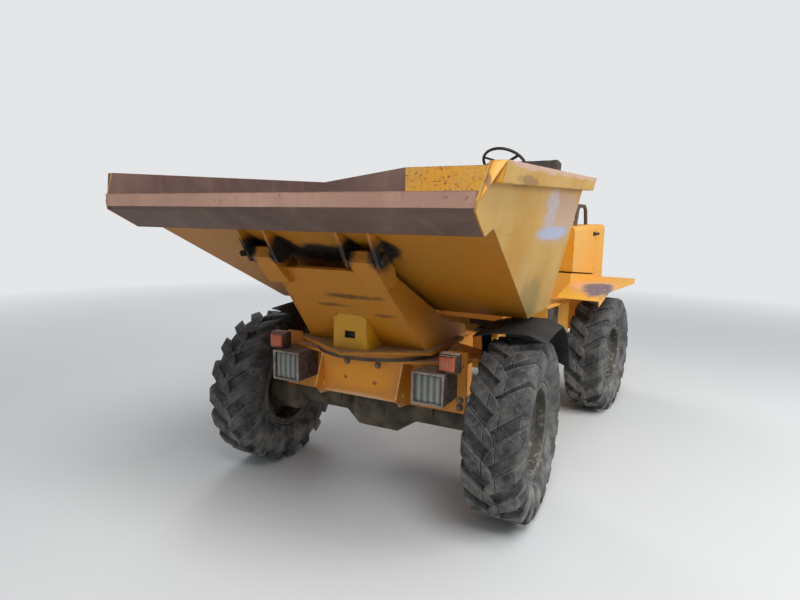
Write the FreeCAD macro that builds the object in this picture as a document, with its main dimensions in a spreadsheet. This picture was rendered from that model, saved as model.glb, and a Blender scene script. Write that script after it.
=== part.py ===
import FreeCAD, Part
import os
from math import cos, pi, radians, sin, tan

# Swivel-skip site dumper with a hinge between its front and rear chassis, in millimetres.
# The front faces -Y, +X is the machine's left and +Z is up. Every place is first worked out with
# y = 0 at the front axle and z = 0 on the ground. The last step moves the whole machine so that the
# origin is the middle of its footprint.

Vector = FreeCAD.Vector
Placement = FreeCAD.Placement
Rotation = FreeCAD.Rotation

doc = FreeCAD.newDocument("SiteDumper")
sheet = doc.addObject("Spreadsheet::Sheet", "Sizes")

# Driving sizes: name, value, meaning. Lengths are in millimetres, angles in degrees.
SIZES = [
    ("wheel_base", 2256, "front axle to rear axle"),
    ("track", 1637, "middle of the left tyre to middle of the right tyre"),
    ("pivot_y", 1125, "front axle to the hinge between the two chassis"),
    ("rest_steer", 7.6, "angle that the hinge stands turned to the left"),
    ("tyre_radius", 485, "out to the tips of the lugs"),
    ("tyre_width", 315, "tyre section at its widest"),
    ("lug_height", 30, "tread lug above the carcass"),
    ("lug_count", 18, "lugs on each side of a tyre"),
    ("lug_width", 62, "across a lug"),
    ("lug_slant", 40, "from the axle direction"),
    ("wheel_facets", 18, "flat facets round a tyre, a rim or an axle casing"),
    ("bar_facets", 14, "flat facets round a ram, a tube or a knob"),
    ("bead_radius", 232, "tyre bore on its rim"),
    ("bead_half", 103, "outer face of a tyre bead from the middle, inside the rim flange"),
    ("rim_width", 246, "between the outer faces of the rim flanges"),
    ("rim_flange", 24, "rim flange above the bead"),
    ("rim_wall", 8, "rim sheet"),
    ("disc_offset", 12, "wheel disc outboard of the tyre's middle"),
    ("hub_radius", 105, "hub inside the wheel disc"),
    ("spindle_radius", 45, "axle end that carries the hub"),
    ("fit_gap", 0.3, "radial clearance of pins, shafts and rams"),
    ("axle_radius", 76, "axle tube"),
    ("diff_radius", 152, "differential housing"),
    ("drum_radius", 140, "brake drum"),
    ("chassis_top", 840, "top face of the front chassis"),
    ("chassis_plate", 16, "chassis plate"),
    ("chassis_half", 308, "middle of a chassis side plate from the centre line"),
    ("chassis_low", 570, "lower edge of the chassis side plates"),
    ("deck_half", 600, "front deck, half its width"),
    ("deck_front", 285, "front deck edge ahead of the axle"),
    ("panel_half", 590, "front panel, half its width"),
    ("panel_low", 600, "front panel, lower edge"),
    ("panel_high", 905, "front panel, top of its outer ears"),
    ("ear_low", 565, "front panel, lower edge of its outer ears"),
    ("ear_y", 170, "outer ears of the front panel, ahead of the axle"),
    ("gusset_half", 258, "gussets beside the recess"),
    ("lamp_inner", 362, "headlamp, inner side"),
    ("lamp_outer", 539, "headlamp, outer side"),
    ("lamp_low", 652, "headlamp, lower side"),
    ("lamp_high", 822, "headlamp, upper side"),
    ("lamp_front", 366, "headlamp face ahead of the axle"),
    ("ring_radius", 395, "slewing ring, outside"),
    ("ring_bore", 250, "slewing ring, inside"),
    ("ring_height", 40, "both halves of the slewing ring"),
    ("ring_facets", 36, "flat facets round the slewing ring"),
    ("ring_half", 20, "one half of the slewing ring"),
    ("table_plate", 18, "turntable plate"),
    ("table_radius", 480, "turntable plate, to its corners"),
    ("tip_y", 720, "tipping pivot ahead of the axle"),
    ("tip_z", 1412, "height of the tipping pivot"),
    ("tip_pin", 25, "tipping pin radius"),
    ("tip_half", 310, "tipping pivot from the centre line"),
    ("arm_inner", 92, "inner face of a yoke arm, inboard of that place"),
    ("yoke_plate", 16, "yoke plate"),
    ("yoke_foot_half", 370, "yoke side plate at its foot"),
    ("skip_plate", 8, "skip plate"),
    ("skip_low", 1070, "underside of the skip"),
    ("skip_low_half", 832, "skip bottom, half its outer width"),
    ("skip_flare", 0.185, "outward lean of the skip sides"),
    ("skip_low_front", 100, "front edge of the skip bottom, behind the axle"),
    ("skip_low_rear", 620, "rear corner of the skip bottom, behind the axle"),
    ("skip_top_rear", 800, "rear corner of the skip sides at the top"),
    ("skip_back_top", 1100, "top of the skip's rear wall, behind the axle"),
    ("skip_back_high", 2000, "height of the skip's rear wall"),
    ("skip_back_half", 430, "skip's middle rear panel at the top"),
    ("skip_back_low_half", 300, "skip's middle rear panel at the bottom"),
    ("floor_slope", 0.508, "rise of the front floor per length"),
    ("lip_y", 1105, "front of the lip ahead of the axle"),
    ("lip_low", 1616, "front lower edge of the lip"),
    ("lip_height", 72, "front face of the lip"),
    ("rim_bar_width", 50, "edge bar on the skip, outward"),
    ("rim_bar_height", 78, "edge bar on the skip, upright"),
    ("side_top_front", 1790, "top of the skip side at the lip"),
    ("side_top_rear", 1873, "top of the skip side at its rear corner"),
    ("ram_foot_y", 325, "foot pin of the tipping ram ahead of the axle"),
    ("ram_foot_z", 965, "height of that pin"),
    ("ram_head_y", 545, "head pin of the tipping ram behind the axle"),
    ("ram_head_z", 1020, "height of that pin"),
    ("ram_barrel", 45, "tipping ram barrel radius"),
    ("ram_rod", 25, "tipping ram rod radius"),
    ("ram_pin", 18, "tipping ram pin radius"),
    ("steer_barrel", 32, "steering ram barrel radius"),
    ("steer_rod", 17, "steering ram rod radius"),
    ("hinge_pin", 32, "hinge pin between the chassis, radius"),
    ("hinge_high", 740, "upper hinge plate, top face"),
    ("hinge_low", 400, "lower hinge plate, underside"),
    ("hinge_plate", 32, "hinge plate"),
    ("trunnion_radius", 60, "rocking shaft of the rear chassis"),
    ("trunnion_z", 560, "height of that shaft"),
    ("platform_z", 950, "top of the footplate"),
    ("platform_front", 1440, "front of the footplate"),
    ("hood_front", 2110, "front of the bonnet"),
    ("hood_split", 2745, "rear of the bonnet, where the radiator cowl starts"),
    ("hood_rear", 3060, "rear of the radiator cowl"),
    ("hood_half", 600, "bonnet, half its width"),
    ("hood_low", 1181, "lower edge of the bonnet at its front"),
    ("hood_split_low", 1128, "lower edge of the bonnet at its rear"),
    ("hood_front_high", 1562, "top of the bonnet at its front"),
    ("ballast_high", 1130, "top of the counterweight"),
    ("hood_high", 1590, "top of the bonnet at its rear and of the cowl"),
    ("hood_sheet", 5, "bonnet sheet"),
    ("guard_z", 1088, "top of the rear mudguards"),
    ("guard_half", 942, "outer edge of the rear mudguards"),
    ("guard_sheet", 6, "mudguard sheet"),
    ("front_guard_inner", 600, "front mudguards, inner edge"),
    ("front_guard_outer", 985, "left front mudguard, outer edge"),
    ("front_guard_stub", 750, "right front mudguard, where it is broken off"),
    ("wheel_y", 1950, "middle of the steering wheel"),
    ("wheel_z", 2095, "height of the steering wheel"),
    ("wheel_radius", 205, "steering wheel"),
    ("seat_half", 245, "seat, half its width"),
]
for row, (alias, value, meaning) in enumerate(SIZES, 1):
    sheet.set("A%d" % row, meaning)
    sheet.set("B%d" % row, str(value))
    sheet.setAlias("B%d" % row, alias)
doc.recompute()


def size(alias):
    return float(sheet.get(alias))


s = {alias: size(alias) for alias, value, meaning in SIZES}


# Helpers for the document

def plane_of(body, role):
    """One of a body's own origin planes."""
    return next(item for item in body.Origin.OriginFeatures if item.Role == role)


def new_body(name):
    body = doc.addObject("PartDesign::Body", name)
    body.Label = name
    return body


def outline(body, role, points, offset=0.0, hole=()):
    """A closed sketch of straight lines on an origin plane, moved along the plane's normal."""
    sketch = body.newObject("Sketcher::SketchObject", body.Name + "_outline")
    sketch.AttachmentSupport = [(plane_of(body, role), "")]
    sketch.MapMode = "FlatFace"
    sketch.AttachmentOffset = Placement(Vector(0, 0, offset), Rotation())
    for loop in (points, list(hole)):
        for start, end in zip(loop, loop[1:] + loop[:1]):
            sketch.addGeometry(Part.LineSegment(Vector(start[0], start[1], 0), Vector(end[0], end[1], 0)))
    return sketch


def circles(body, role, places, radius, offset=0.0):
    """A sketch of equal circles."""
    sketch = body.newObject("Sketcher::SketchObject", body.Name + "_circles")
    sketch.AttachmentSupport = [(plane_of(body, role), "")]
    sketch.MapMode = "FlatFace"
    sketch.AttachmentOffset = Placement(Vector(0, 0, offset), Rotation())
    for place in places:
        sketch.addGeometry(Part.Circle(Vector(place[0], place[1], 0), Vector(0, 0, 1), radius))
    return sketch


def pad(body, profile, length, midplane=False, reversed_=False):
    """A pad whose length is an expression on the size sheet, such as Sizes.yoke_plate."""
    feature = body.newObject("PartDesign::Pad", body.Name + "_pad")
    feature.Profile = profile
    feature.setExpression("Length", length)
    feature.Midplane = midplane
    feature.Reversed = reversed_
    profile.Visibility = False
    return feature


def drill(body, profile, length, reversed_=False):
    """A pocket that has to take material away."""
    doc.recompute()
    before = body.Shape.Volume
    feature = body.newObject("PartDesign::Pocket", body.Name + "_pocket")
    feature.Profile = profile
    feature.setExpression("Length", length)
    feature.Reversed = reversed_
    doc.recompute()
    if body.Shape.Volume >= before - 1:
        raise RuntimeError(body.Label + " pocket cuts nothing")
    return feature


def feature_of(name, shape):
    """A piece whose inclined plates have no sketch plane of their own."""
    item = doc.addObject("Part::Feature", name)
    item.Label = name
    item.Shape = shape
    return item


def slab(points, thickness, inside):
    """A flat plate: its outer face has the given corners, its thickness goes towards inside."""
    corners = [Vector(*point) for point in points]
    face = Part.Face(Part.makePolygon(corners + corners[:1]))
    normal = face.normalAt(0, 0)
    if normal.dot(Vector(*inside) - corners[0]) < 0:
        normal = normal * -1
    return face.extrude(normal * thickness)


def box(x0, x1, y0, y1, z0, z1):
    return Part.makeBox(x1 - x0, y1 - y0, z1 - z0, Vector(x0, y0, z0))


def faceted(points, sectors):
    """A solid of flat facets about the X axis; its closed outline is given as (x, radius)."""
    rings = []
    for number in range(sectors):
        angle = 2 * pi * number / sectors
        rings.append([Vector(x, r * cos(angle), r * sin(angle)) for x, r in points])
    faces = []
    for here, there in zip(rings, rings[1:] + rings[:1]):
        for a in range(len(points)):
            b = (a + 1) % len(points)
            if points[a][1] == 0 and points[b][1] == 0:
                continue
            corners = [here[a], here[b]]
            if points[b][1] > 0:
                corners.append(there[b])
            if points[a][1] > 0:
                corners.append(there[a])
            faces.append(Part.Face(Part.makePolygon(corners + corners[:1])))
    solid = Part.Solid(Part.Shell(faces))
    if solid.Volume < 0:
        solid.reverse()
    return solid


def regular(radius, sides):
    """Corners of a regular polygon."""
    angles = [2 * pi * number / sides for number in range(sides)]
    return [(radius * cos(angle), radius * sin(angle)) for angle in angles]


def facet_bar(radius, length, start, along, sides=None):
    """A bar of flat facets from start along a direction."""
    turn = Rotation(Vector(0, 0, 1), along)
    ring = regular(radius, sides or int(s["bar_facets"]))
    corners = [start + turn.multVec(Vector(x, y, 0)) for x, y in ring]
    return Part.Face(Part.makePolygon(corners + corners[:1])).extrude(along * (length / along.Length))


def clear_of(radius, sides=None):
    """Corner radius of a bore of flat facets that clears a round pin."""
    return radius / cos(pi / (sides or int(s["bar_facets"])))


def round_corners(points, radius, steps=3):
    """The outline with each corner turned into short flats; the first and last point stay sharp."""
    bent = [points[0]]
    for before, at, after in zip(points, points[1:], points[2:]):
        back = Vector(before[0] - at[0], before[1] - at[1], 0).normalize() * radius
        on = Vector(after[0] - at[0], after[1] - at[1], 0).normalize() * radius
        centre = Vector(at[0], at[1], 0) + back + on
        for step in range(steps + 1):
            angle = pi / 2 * step / steps
            spot = centre - on * cos(angle) - back * sin(angle)
            bent.append((spot.x, spot.y))
    return bent + [points[-1]]


def cross_bar(radius, x0, x1, y, z):
    """A round bar along X."""
    return Part.makeCylinder(radius, x1 - x0, Vector(x0, y, z), Vector(1, 0, 0))


def side_plate(points, x0, x1):
    """A plate in the YZ plane from x0 to x1."""
    corners = [Vector(x0, y, z) for y, z in points]
    return Part.Face(Part.makePolygon(corners + corners[:1])).extrude(Vector(x1 - x0, 0, 0))


def mirrored(shape):
    return shape.mirror(Vector(0, 0, 0), Vector(1, 0, 0))


def both_sides(shapes):
    """The shapes and their mirror images."""
    return shapes + [mirrored(shape) for shape in shapes]


def joined(shapes):
    return shapes[0].multiFuse(shapes[1:]).removeSplitter()


# The rear unit's resting place: turned about the hinge between the chassis
STEER = Placement(Vector(0, 0, 0), Rotation(Vector(0, 0, 1), -s["rest_steer"]), Vector(0, s["pivot_y"], 0))


# Front chassis

def front_frame():
    body = new_body("front_frame")
    top = s["chassis_top"]
    plate = s["chassis_plate"]
    half = s["chassis_half"]
    deck = [(-255, -s["deck_front"]), (255, -s["deck_front"]), (572, -179), (572, -60),
            (648, -60), (648, 60), (s["deck_half"], 60), (s["deck_half"], 190), (half + 20, 330),
            (half + 20, 700),
            (-half - 20, 700), (-half - 20, 330), (-s["deck_half"], 190), (-s["deck_half"], 60), (-648, 60),
            (-648, -60), (-572, -60), (-572, -179)]
    pad(body, outline(body, "XY_Plane", deck, top - plate), "Sizes.chassis_plate")
    front = -s["ear_y"] + 12
    web = [(front, top - plate), (front, 610), (-118, s["chassis_low"]), (420, s["chassis_low"]),
           (560, s["hinge_low"]), (700, s["hinge_low"]), (700, top - plate)]
    for x in (-half - plate / 2, half - plate / 2):
        pad(body, outline(body, "YZ_Plane", web, x), "Sizes.chassis_plate")
    wall = [(-half - 8, s["hinge_low"]), (half + 8, s["hinge_low"]), (half + 8, top), (-half - 8, top)]
    pad(body, outline(body, "XZ_Plane", wall, -700), "Sizes.chassis_plate")
    reach = s["pivot_y"] + 80
    for z in (s["hinge_low"], s["hinge_high"] - s["hinge_plate"]):
        tongue = [(-260, 690), (260, 690), (95, s["pivot_y"] - 60), (88, s["pivot_y"] + 30), (50, reach),
                  (-50, reach), (-88, s["pivot_y"] + 30), (-95, s["pivot_y"] - 60)]
        pad(body, outline(body, "XY_Plane", tongue, z), "Sizes.hinge_plate")
    rib_top = s["hinge_high"]
    for x in (-158, 142):
        rib = [(690, rib_top), (860, rib_top), (690, top)]
        pad(body, outline(body, "YZ_Plane", rib, x), "Sizes.chassis_plate")
    doc.recompute()
    for z in (540, 640):
        lug = [(-half, 375), (-212, 390), (-205, 420), (-212, 450), (-half, 465)]
        pad(body, outline(body, "XY_Plane", lug, z), "Sizes.chassis_plate")
    gate = outline(body, "XZ_Plane", [(-280, 552), (-145, 552), (-145, 644), (-280, 644)], -710)
    drill(body, gate, "Sizes.hinge_plate", reversed_=True)
    # bore: place, pin radius, start of the cut, its length
    bores = [(0, s["pivot_y"], s["hinge_pin"], s["hinge_low"] - 10, "Sizes.chassis_top"),
             (-240, 420, s["ram_pin"], 500, "Sizes.chassis_half")]
    for x, y, radius, low, length in bores:
        ring = [(x + a, y + b) for a, b in regular(clear_of(radius + s["fit_gap"]), int(s["bar_facets"]))]
        drill(body, outline(body, "XY_Plane", ring, low), length, reversed_=True)
    return body


def front_panel():
    """Recessed middle plate between two gussets, and the ears that carry the lamps."""
    y0 = -s["deck_front"] + 11
    y1 = y0 + 12
    ear_y = -s["ear_y"]
    low = s["panel_low"]
    under_deck = s["chassis_top"] - s["chassis_plate"]
    middle = box(-s["gusset_half"], s["gusset_half"], y0, y1, low, under_deck)
    step = s["lamp_outer"] - 60
    inner = s["gusset_half"] - 5
    half = s["panel_half"]
    ear = [(inner, s["ear_low"]), (half, s["ear_low"]), (half, s["panel_high"]), (step, s["panel_high"]),
           (step - 15, s["chassis_top"]), (inner, s["chassis_top"])]
    corners = [Vector(x, ear_y, z) for x, z in ear]
    ear_plate = Part.Face(Part.makePolygon(corners + corners[:1])).extrude(Vector(0, 12, 0))
    gusset = side_plate([(y0, under_deck), (-345, 640), (-292, low - 14), (ear_y + 12, s["ear_low"]),
                         (ear_y + 12, under_deck)], inner, inner + 10)
    shape = joined([middle] + both_sides([ear_plate, gusset]))
    return feature_of("front_panel", shape.cut(doc.front_frame.Shape))


def axle(name, y, pad_top, place, toward):
    """Axle casing with its brake drums, spindles, spring pads and drive flange."""
    z = s["tyre_radius"]
    drum_in = 600
    drum_out = s["track"] / 2 + s["disc_offset"] - 78
    end = s["track"] / 2 + s["disc_offset"] + 10
    half = [(drum_out, 0), (drum_out, s["drum_radius"]), (drum_in + 24, s["drum_radius"]),
            (drum_in - 30, s["axle_radius"]), (230, s["axle_radius"]), (115, s["diff_radius"])]
    casing = faceted(half + [(-x, r) for x, r in reversed(half)], int(s["bar_facets"]))
    casing.translate(Vector(0, y, z))
    spindle = cross_bar(s["spindle_radius"], -end, end, y, z)
    pads = both_sides([box(s["chassis_half"] - 55, s["chassis_half"] + 55, y - 85, y + 85, z, pad_top)])
    nose = facet_bar(62, s["diff_radius"] + 70, Vector(0, y, z), Vector(0, toward, 0))
    item = feature_of(name, joined([casing, spindle, nose] + pads))
    item.Placement = place
    return item


def slew_ring():
    """Lower half of the slewing ring, on the deck."""
    body = new_body("slew_ring")
    sides = int(s["ring_facets"])
    bore = regular(s["ring_bore"], sides)
    ring = outline(body, "XY_Plane", regular(s["ring_radius"], sides), s["chassis_top"], bore)
    pad(body, ring, "Sizes.ring_half")
    return body


def front_lamps():
    """Deep headlamp boxes standing off the ears, and the indicators on top of them."""
    y1 = -s["ear_y"]
    y0 = -s["lamp_front"]
    inner = s["lamp_inner"]
    outer = s["lamp_outer"]
    shell = box(inner, outer, y0, y1, s["lamp_low"], s["lamp_high"])
    rim = 12
    hollow = box(inner + rim, outer - rim, y0 - 1, y0 + 24, s["lamp_low"] + rim, s["lamp_high"] - rim)
    lens = box(inner + rim, outer - rim, y0 + 6, y0 + 24, s["lamp_low"] + rim, s["lamp_high"] - rim)
    base = box(outer - 49, outer + 56, y0 + 46, y0 + 100, s["lamp_high"], s["lamp_high"] + 100)
    face = box(outer - 43, outer + 50, y0 + 34, y0 + 46, s["lamp_high"] + 8, s["lamp_high"] + 92)
    feature_of("headlamp_housings", Part.makeCompound(both_sides([shell.cut(hollow)])))
    feature_of("headlamp_lenses", Part.makeCompound(both_sides([lens])))
    feature_of("indicators", Part.makeCompound(both_sides([joined([base, face])])))


# Top of the front mudguards along the machine: y and height at the crown
FRONT_GUARD_LINE = [(-130, 1026), (0, 1036), (150, 1046), (310, 1046), (450, 980), (550, 860), (590, 740)]
# Across the machine: share of the width from the inner edge, and drop below the crown
FRONT_GUARD_DROPS = [(0, 36), (0.26, 10), (0.5, 0), (0.78, 0), (1, 34)]


def pressed(xs, drops, line, thickness):
    """Pressed sheet whose top is a crowned profile swept along a bent line."""
    def at(i, j, down):
        return Vector(xs[i], line[j][0], line[j][1] - drops[i] - down)

    faces = []
    last_x = len(xs) - 1
    last_y = len(line) - 1
    for i in range(last_x):
        for j in range(last_y):
            for down in (0, thickness):
                faces.append((at(i, j, down), at(i + 1, j, down), at(i + 1, j + 1, down),
                              at(i, j + 1, down)))
        for j in (0, last_y):
            faces.append((at(i, j, 0), at(i + 1, j, 0), at(i + 1, j, thickness), at(i, j, thickness)))
    for j in range(last_y):
        for i in (0, last_x):
            faces.append((at(i, j, 0), at(i, j + 1, 0), at(i, j + 1, thickness), at(i, j, thickness)))
    shell = Part.Shell([Part.Face(Part.makePolygon(list(corners) + [corners[0]])) for corners in faces])
    solid = Part.Solid(shell)
    if solid.Volume < 0:
        solid.reverse()
    return solid


def front_mudguards():
    """A whole mudguard on the left and what is left of the right one."""
    inner = s["front_guard_inner"]
    wide = s["front_guard_outer"] - inner
    drops = [drop for share, drop in FRONT_GUARD_DROPS]
    xs = [inner + share * wide for share, drop in FRONT_GUARD_DROPS]
    whole = pressed(xs, drops, FRONT_GUARD_LINE, s["guard_sheet"])
    keep = box(inner - 10, s["front_guard_stub"], -400, 330, 500, 1200)
    stub = whole.common(keep)
    top = s["chassis_top"]
    bracket = side_plate([(-60, top), (60, top), (90, 1010), (-90, 999)], inner + 34, inner + 40)
    left = joined([whole, bracket])
    right = mirrored(joined([stub, bracket]))
    feature_of("front_mudguards", Part.makeCompound([left, right]))


# Swivel frame on the slewing ring

def turntable():
    low = s["chassis_top"] + s["ring_height"]
    body = new_body("turntable")
    corners = [(-y, x) for x, y in regular(s["table_radius"], 6)]
    pad(body, outline(body, "XY_Plane", corners, low), "Sizes.table_plate")
    ring_low = low - s["ring_half"] + s["fit_gap"]
    ring = outline(body, "XY_Plane", regular(s["ring_radius"], int(s["ring_facets"])), ring_low)
    pad(body, ring, "Sizes.ring_half")
    bore = circles(body, "XY_Plane", [(0, 0)], s["ring_bore"], ring_low)
    drill(body, bore, "Sizes.ring_half - Sizes.fit_gap", reversed_=True)
    return body


def floor_z(y):
    """Underside of the skip's front floor."""
    return s["skip_low"] + s["floor_slope"] * (s["skip_low_front"] - y)


def yoke():
    foot = s["chassis_top"] + s["ring_height"] + s["table_plate"]
    half = s["yoke_foot_half"]
    top_half = 262
    top_z = 1345
    top_y = -650
    lean = (half - top_half - 40) / (top_z - foot)

    def at(y, z):
        return (half - lean * (z - foot), y, z)

    plate = s["yoke_plate"]
    front = slab([(half, -220, foot), (-half, -220, foot), (-(half - lean * (top_z - foot)), top_y, top_z),
                  (half - lean * (top_z - foot), top_y, top_z)], plate, (0, 0, foot + 200))
    flank = slab([at(-220, foot), at(400, foot), at(400, foot + 50), at(120, foot + 112), at(-560, 1368),
                  at(top_y, top_z)], plate, (0, -200, foot + 200))
    arm = side_plate([(-620, 1262), (-764, 1398), (-748, 1447), (-702, 1450), (-560, 1374), (-520, 1280)],
                     s["tip_half"] - s["arm_inner"], s["tip_half"] + 40)
    bore_radius = clear_of(s["tip_pin"] + s["fit_gap"])
    arm = arm.cut(facet_bar(bore_radius, 400, Vector(100, -s["tip_y"], s["tip_z"]), Vector(1, 0, 0)))
    opening = box(-84, 84, -500, -100, foot - 1, foot + 190)
    shape = joined([front] + both_sides([flank, arm])).cut(opening)
    ground = box(-800, 800, -900, 900, foot - 200, foot)
    return feature_of("yoke", shape.cut(ground))


def ram_pocket():
    foot = s["chassis_top"] + s["ring_height"] + s["table_plate"]
    front_y = -392
    top = foot + 220
    outer = side_plate([(front_y, foot), (-150, foot), (-150, foot + 40), (front_y, top)], -104, 104)
    inner = side_plate([(front_y + 8, foot - 1), (-150, foot - 1), (-150, foot + 400),
                        (front_y + 8, top + 40)], -96, 96)
    slot = box(-32, 32, front_y - 1, front_y + 9, foot + 60, foot + 98)
    shell = outer.cut(inner).cut(slot)
    y = -s["ram_foot_y"]
    z = s["ram_foot_z"]
    lug = side_plate([(y - 36, foot), (y + 60, foot), (y + 24, z + 28), (y - 24, z + 28)], 56, 72)
    lug = lug.cut(facet_bar(clear_of(s["ram_pin"] + s["fit_gap"]), 200, Vector(0, y, z), Vector(1, 0, 0)))
    shape = Part.makeCompound([shell.cut(doc.yoke.Shape)] + both_sides([lug.cut(doc.yoke.Shape)]))
    return feature_of("ram_pocket", shape)


# Tipping ram

def ram(name, foot, head, axis, barrel_radius, rod_radius, eye_width, pin_reach, room):
    """A ram from its foot pin to its head pin, with room to close; both pins point along axis."""
    line = head - foot
    length = line.Length
    along = line / length
    end = length - 1.9 * barrel_radius - room
    barrel = facet_bar(barrel_radius, end, foot, along)
    eye = facet_bar(barrel_radius * 0.85, eye_width, foot - axis * (eye_width / 2), axis)
    pin = Part.makeCylinder(s["ram_pin"], 2 * pin_reach, foot - axis * pin_reach, axis)
    bore_start = foot + along * (barrel_radius * 1.6)
    bore = facet_bar(rod_radius + 1, end, bore_start, along)
    feature_of(name + "_barrel", joined([barrel, eye, pin]).cut(bore))
    rod_start = bore_start + along * room
    rod = facet_bar(rod_radius, length - barrel_radius * 1.6 - room, rod_start, along)
    head_eye = facet_bar(barrel_radius * 0.8, eye_width * 0.7, head - axis * (eye_width * 0.35), axis)
    feature_of(name + "_rod", joined([rod, head_eye]))


def tipping_ram():
    foot = Vector(0, -s["ram_foot_y"], s["ram_foot_z"])
    head = Vector(0, s["ram_head_y"], s["ram_head_z"])
    eye_width = 96
    pin_reach = 74
    room_to_close = 6
    ram("tip_ram", foot, head, Vector(1, 0, 0), s["ram_barrel"], s["ram_rod"], eye_width, pin_reach,
        room_to_close)


# Skip

def skip_x(z, extra=0.0):
    """Outer half width of the skip at a height."""
    return s["skip_low_half"] + s["skip_flare"] * (z - s["skip_low"]) + extra


def rear_low_y():
    """Where the middle rear panel meets the bottom, so that each rear corner panel is flat."""
    low = Vector(skip_x(s["skip_low"]), s["skip_low_rear"], s["skip_low"])
    side_top = Vector(skip_x(s["side_top_rear"]), s["skip_top_rear"], s["side_top_rear"])
    back_top = Vector(s["skip_back_half"], s["skip_back_top"], s["skip_back_high"])
    normal = (side_top - low).cross(back_top - low)
    return low.y - normal.x * (s["skip_back_low_half"] - low.x) / normal.y


def skip_bowl():
    t = s["skip_plate"]
    low = s["skip_low"]
    inside = (0, 0, 1500)
    lip_rear_y = -s["lip_y"] + 155
    lip_rear_z = s["lip_low"] - 84
    floor_front = -s["lip_y"] + 45
    lower = [(-s["lip_y"], s["lip_low"]), (lip_rear_y, lip_rear_z), (-868, floor_z(-868)),
             (s["skip_low_front"], low), (s["skip_low_rear"], low), (s["skip_top_rear"], s["side_top_rear"]),
             (-s["lip_y"] + 55, s["side_top_front"]), (-s["lip_y"], s["lip_low"] + 40)]
    side = slab([(skip_x(z), y, z) for y, z in lower], t, inside)
    fz = floor_z(floor_front)
    wide = skip_x(low)
    front_y = s["skip_low_front"]
    floor = slab([(skip_x(fz), floor_front, fz), (-skip_x(fz), floor_front, fz), (-wide, front_y, low),
                  (wide, front_y, low)], t, inside)
    ry = rear_low_y()
    half = [(wide, front_y), (wide, s["skip_low_rear"]), (s["skip_back_low_half"], ry)]
    bottom = slab([(x, y, low) for x, y in half + [(-x, y) for x, y in reversed(half)]], t, inside)
    corner = slab([(skip_x(low), s["skip_low_rear"], low), (skip_x(s["side_top_rear"]), s["skip_top_rear"],
                   s["side_top_rear"]), (s["skip_back_half"], s["skip_back_top"], s["skip_back_high"]),
                   (s["skip_back_low_half"], ry, low)], t, inside)
    back = slab([(s["skip_back_half"], s["skip_back_top"], s["skip_back_high"]),
                 (-s["skip_back_half"], s["skip_back_top"], s["skip_back_high"]),
                 (-s["skip_back_low_half"], ry, low), (s["skip_back_low_half"], ry, low)], t, inside)
    return feature_of("skip_bowl", joined([floor, bottom, back] + both_sides([side, corner])))


def between_sides(shape, extra=0.0):
    """What of a shape lies between the skip's two sides."""
    z0 = 900
    z1 = 2100
    wedge = [Vector(skip_x(z0, extra), -1500, z0), Vector(skip_x(z1, extra), -1500, z1),
             Vector(-skip_x(z1, extra), -1500, z1), Vector(-skip_x(z0, extra), -1500, z0)]
    return shape.common(Part.Face(Part.makePolygon(wedge + wedge[:1])).extrude(Vector(0, 3000, 0)))


def skip_lip():
    y = -s["lip_y"]
    z = s["lip_low"]
    bar = side_plate([(y + 10, z - 3), (y, z + 14), (y, z + s["lip_height"]), (y + 30, z + s["lip_height"]),
                      (y + 60, z + 31), (y + 182, z - 31), (y + 155, z - 84)], -1100, 1100)
    return feature_of("skip_lip", between_sides(bar, -s["skip_plate"]).cut(doc.skip_bowl.Shape))


def skip_edges():
    """Edge bars outside the top of the sides and the wings at the front corners."""
    w = s["rim_bar_width"]
    h = s["rim_bar_height"]
    slope = (s["side_top_rear"] - s["side_top_front"]) / (s["skip_top_rear"] + s["lip_y"])
    y0 = -s["lip_y"] + 75
    y1 = s["skip_top_rear"] + 100

    def top(y):
        return s["side_top_front"] + slope * (y + s["lip_y"])

    bar = side_plate([(y0 - 12, top(y0) - h), (y1 - 20, top(y1) - h), (y1, top(y1)), (y0, top(y0))],
                     700, 1200)
    bar = between_sides(bar, w).cut(between_sides(box(600, 1300, -1400, 1400, 900, 2090), 0))
    low = s["lip_low"]
    high = s["side_top_front"]
    wing = slab([(skip_x(low), -s["lip_y"], low + 20), (skip_x(high), -s["lip_y"] + 55, high),
                 (skip_x(top(y0), w), y0, top(y0))], s["skip_plate"], (skip_x(low), 0, low))
    wing = wing.cut(between_sides(box(600, 1300, -1400, 1400, 900, 2090), 0))
    edge = joined([bar, wing]).cut(doc.skip_bowl.Shape)
    return feature_of("skip_edges", Part.makeCompound(both_sides([edge])))


def skip_brackets():
    """Tipping lugs and pins under the front floor, ram lugs under the bottom."""
    y = -s["tip_y"]
    z = s["tip_z"]
    lug = [(-862, floor_z(-862)), (-600, floor_z(-600)), (y + 42, z - 16), (y + 18, z - 41),
           (y - 18, z - 41), (y - 42, z - 10)]
    inner = s["tip_half"] - s["arm_inner"] - 6
    outer = s["tip_half"] + 46
    shapes = [side_plate(lug, inner - 20, inner), side_plate(lug, outer, outer + 20),
              cross_bar(s["tip_pin"], inner - 20, outer + 20, y, z)]
    hinge = joined(shapes).cut(doc.skip_bowl.Shape)
    hy = s["ram_head_y"]
    hz = s["ram_head_z"]
    low = s["skip_low"]
    ear = side_plate([(hy - 70, low), (hy + 45, low), (hy + 24, hz - 26), (hy - 24, hz - 26)], 48, 62)
    ear = ear.cut(facet_bar(s["ram_pin"], 200, Vector(0, hy, hz), Vector(1, 0, 0)))
    return feature_of("skip_brackets", Part.makeCompound(both_sides([hinge, ear])))


# Hinge between the chassis

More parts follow.
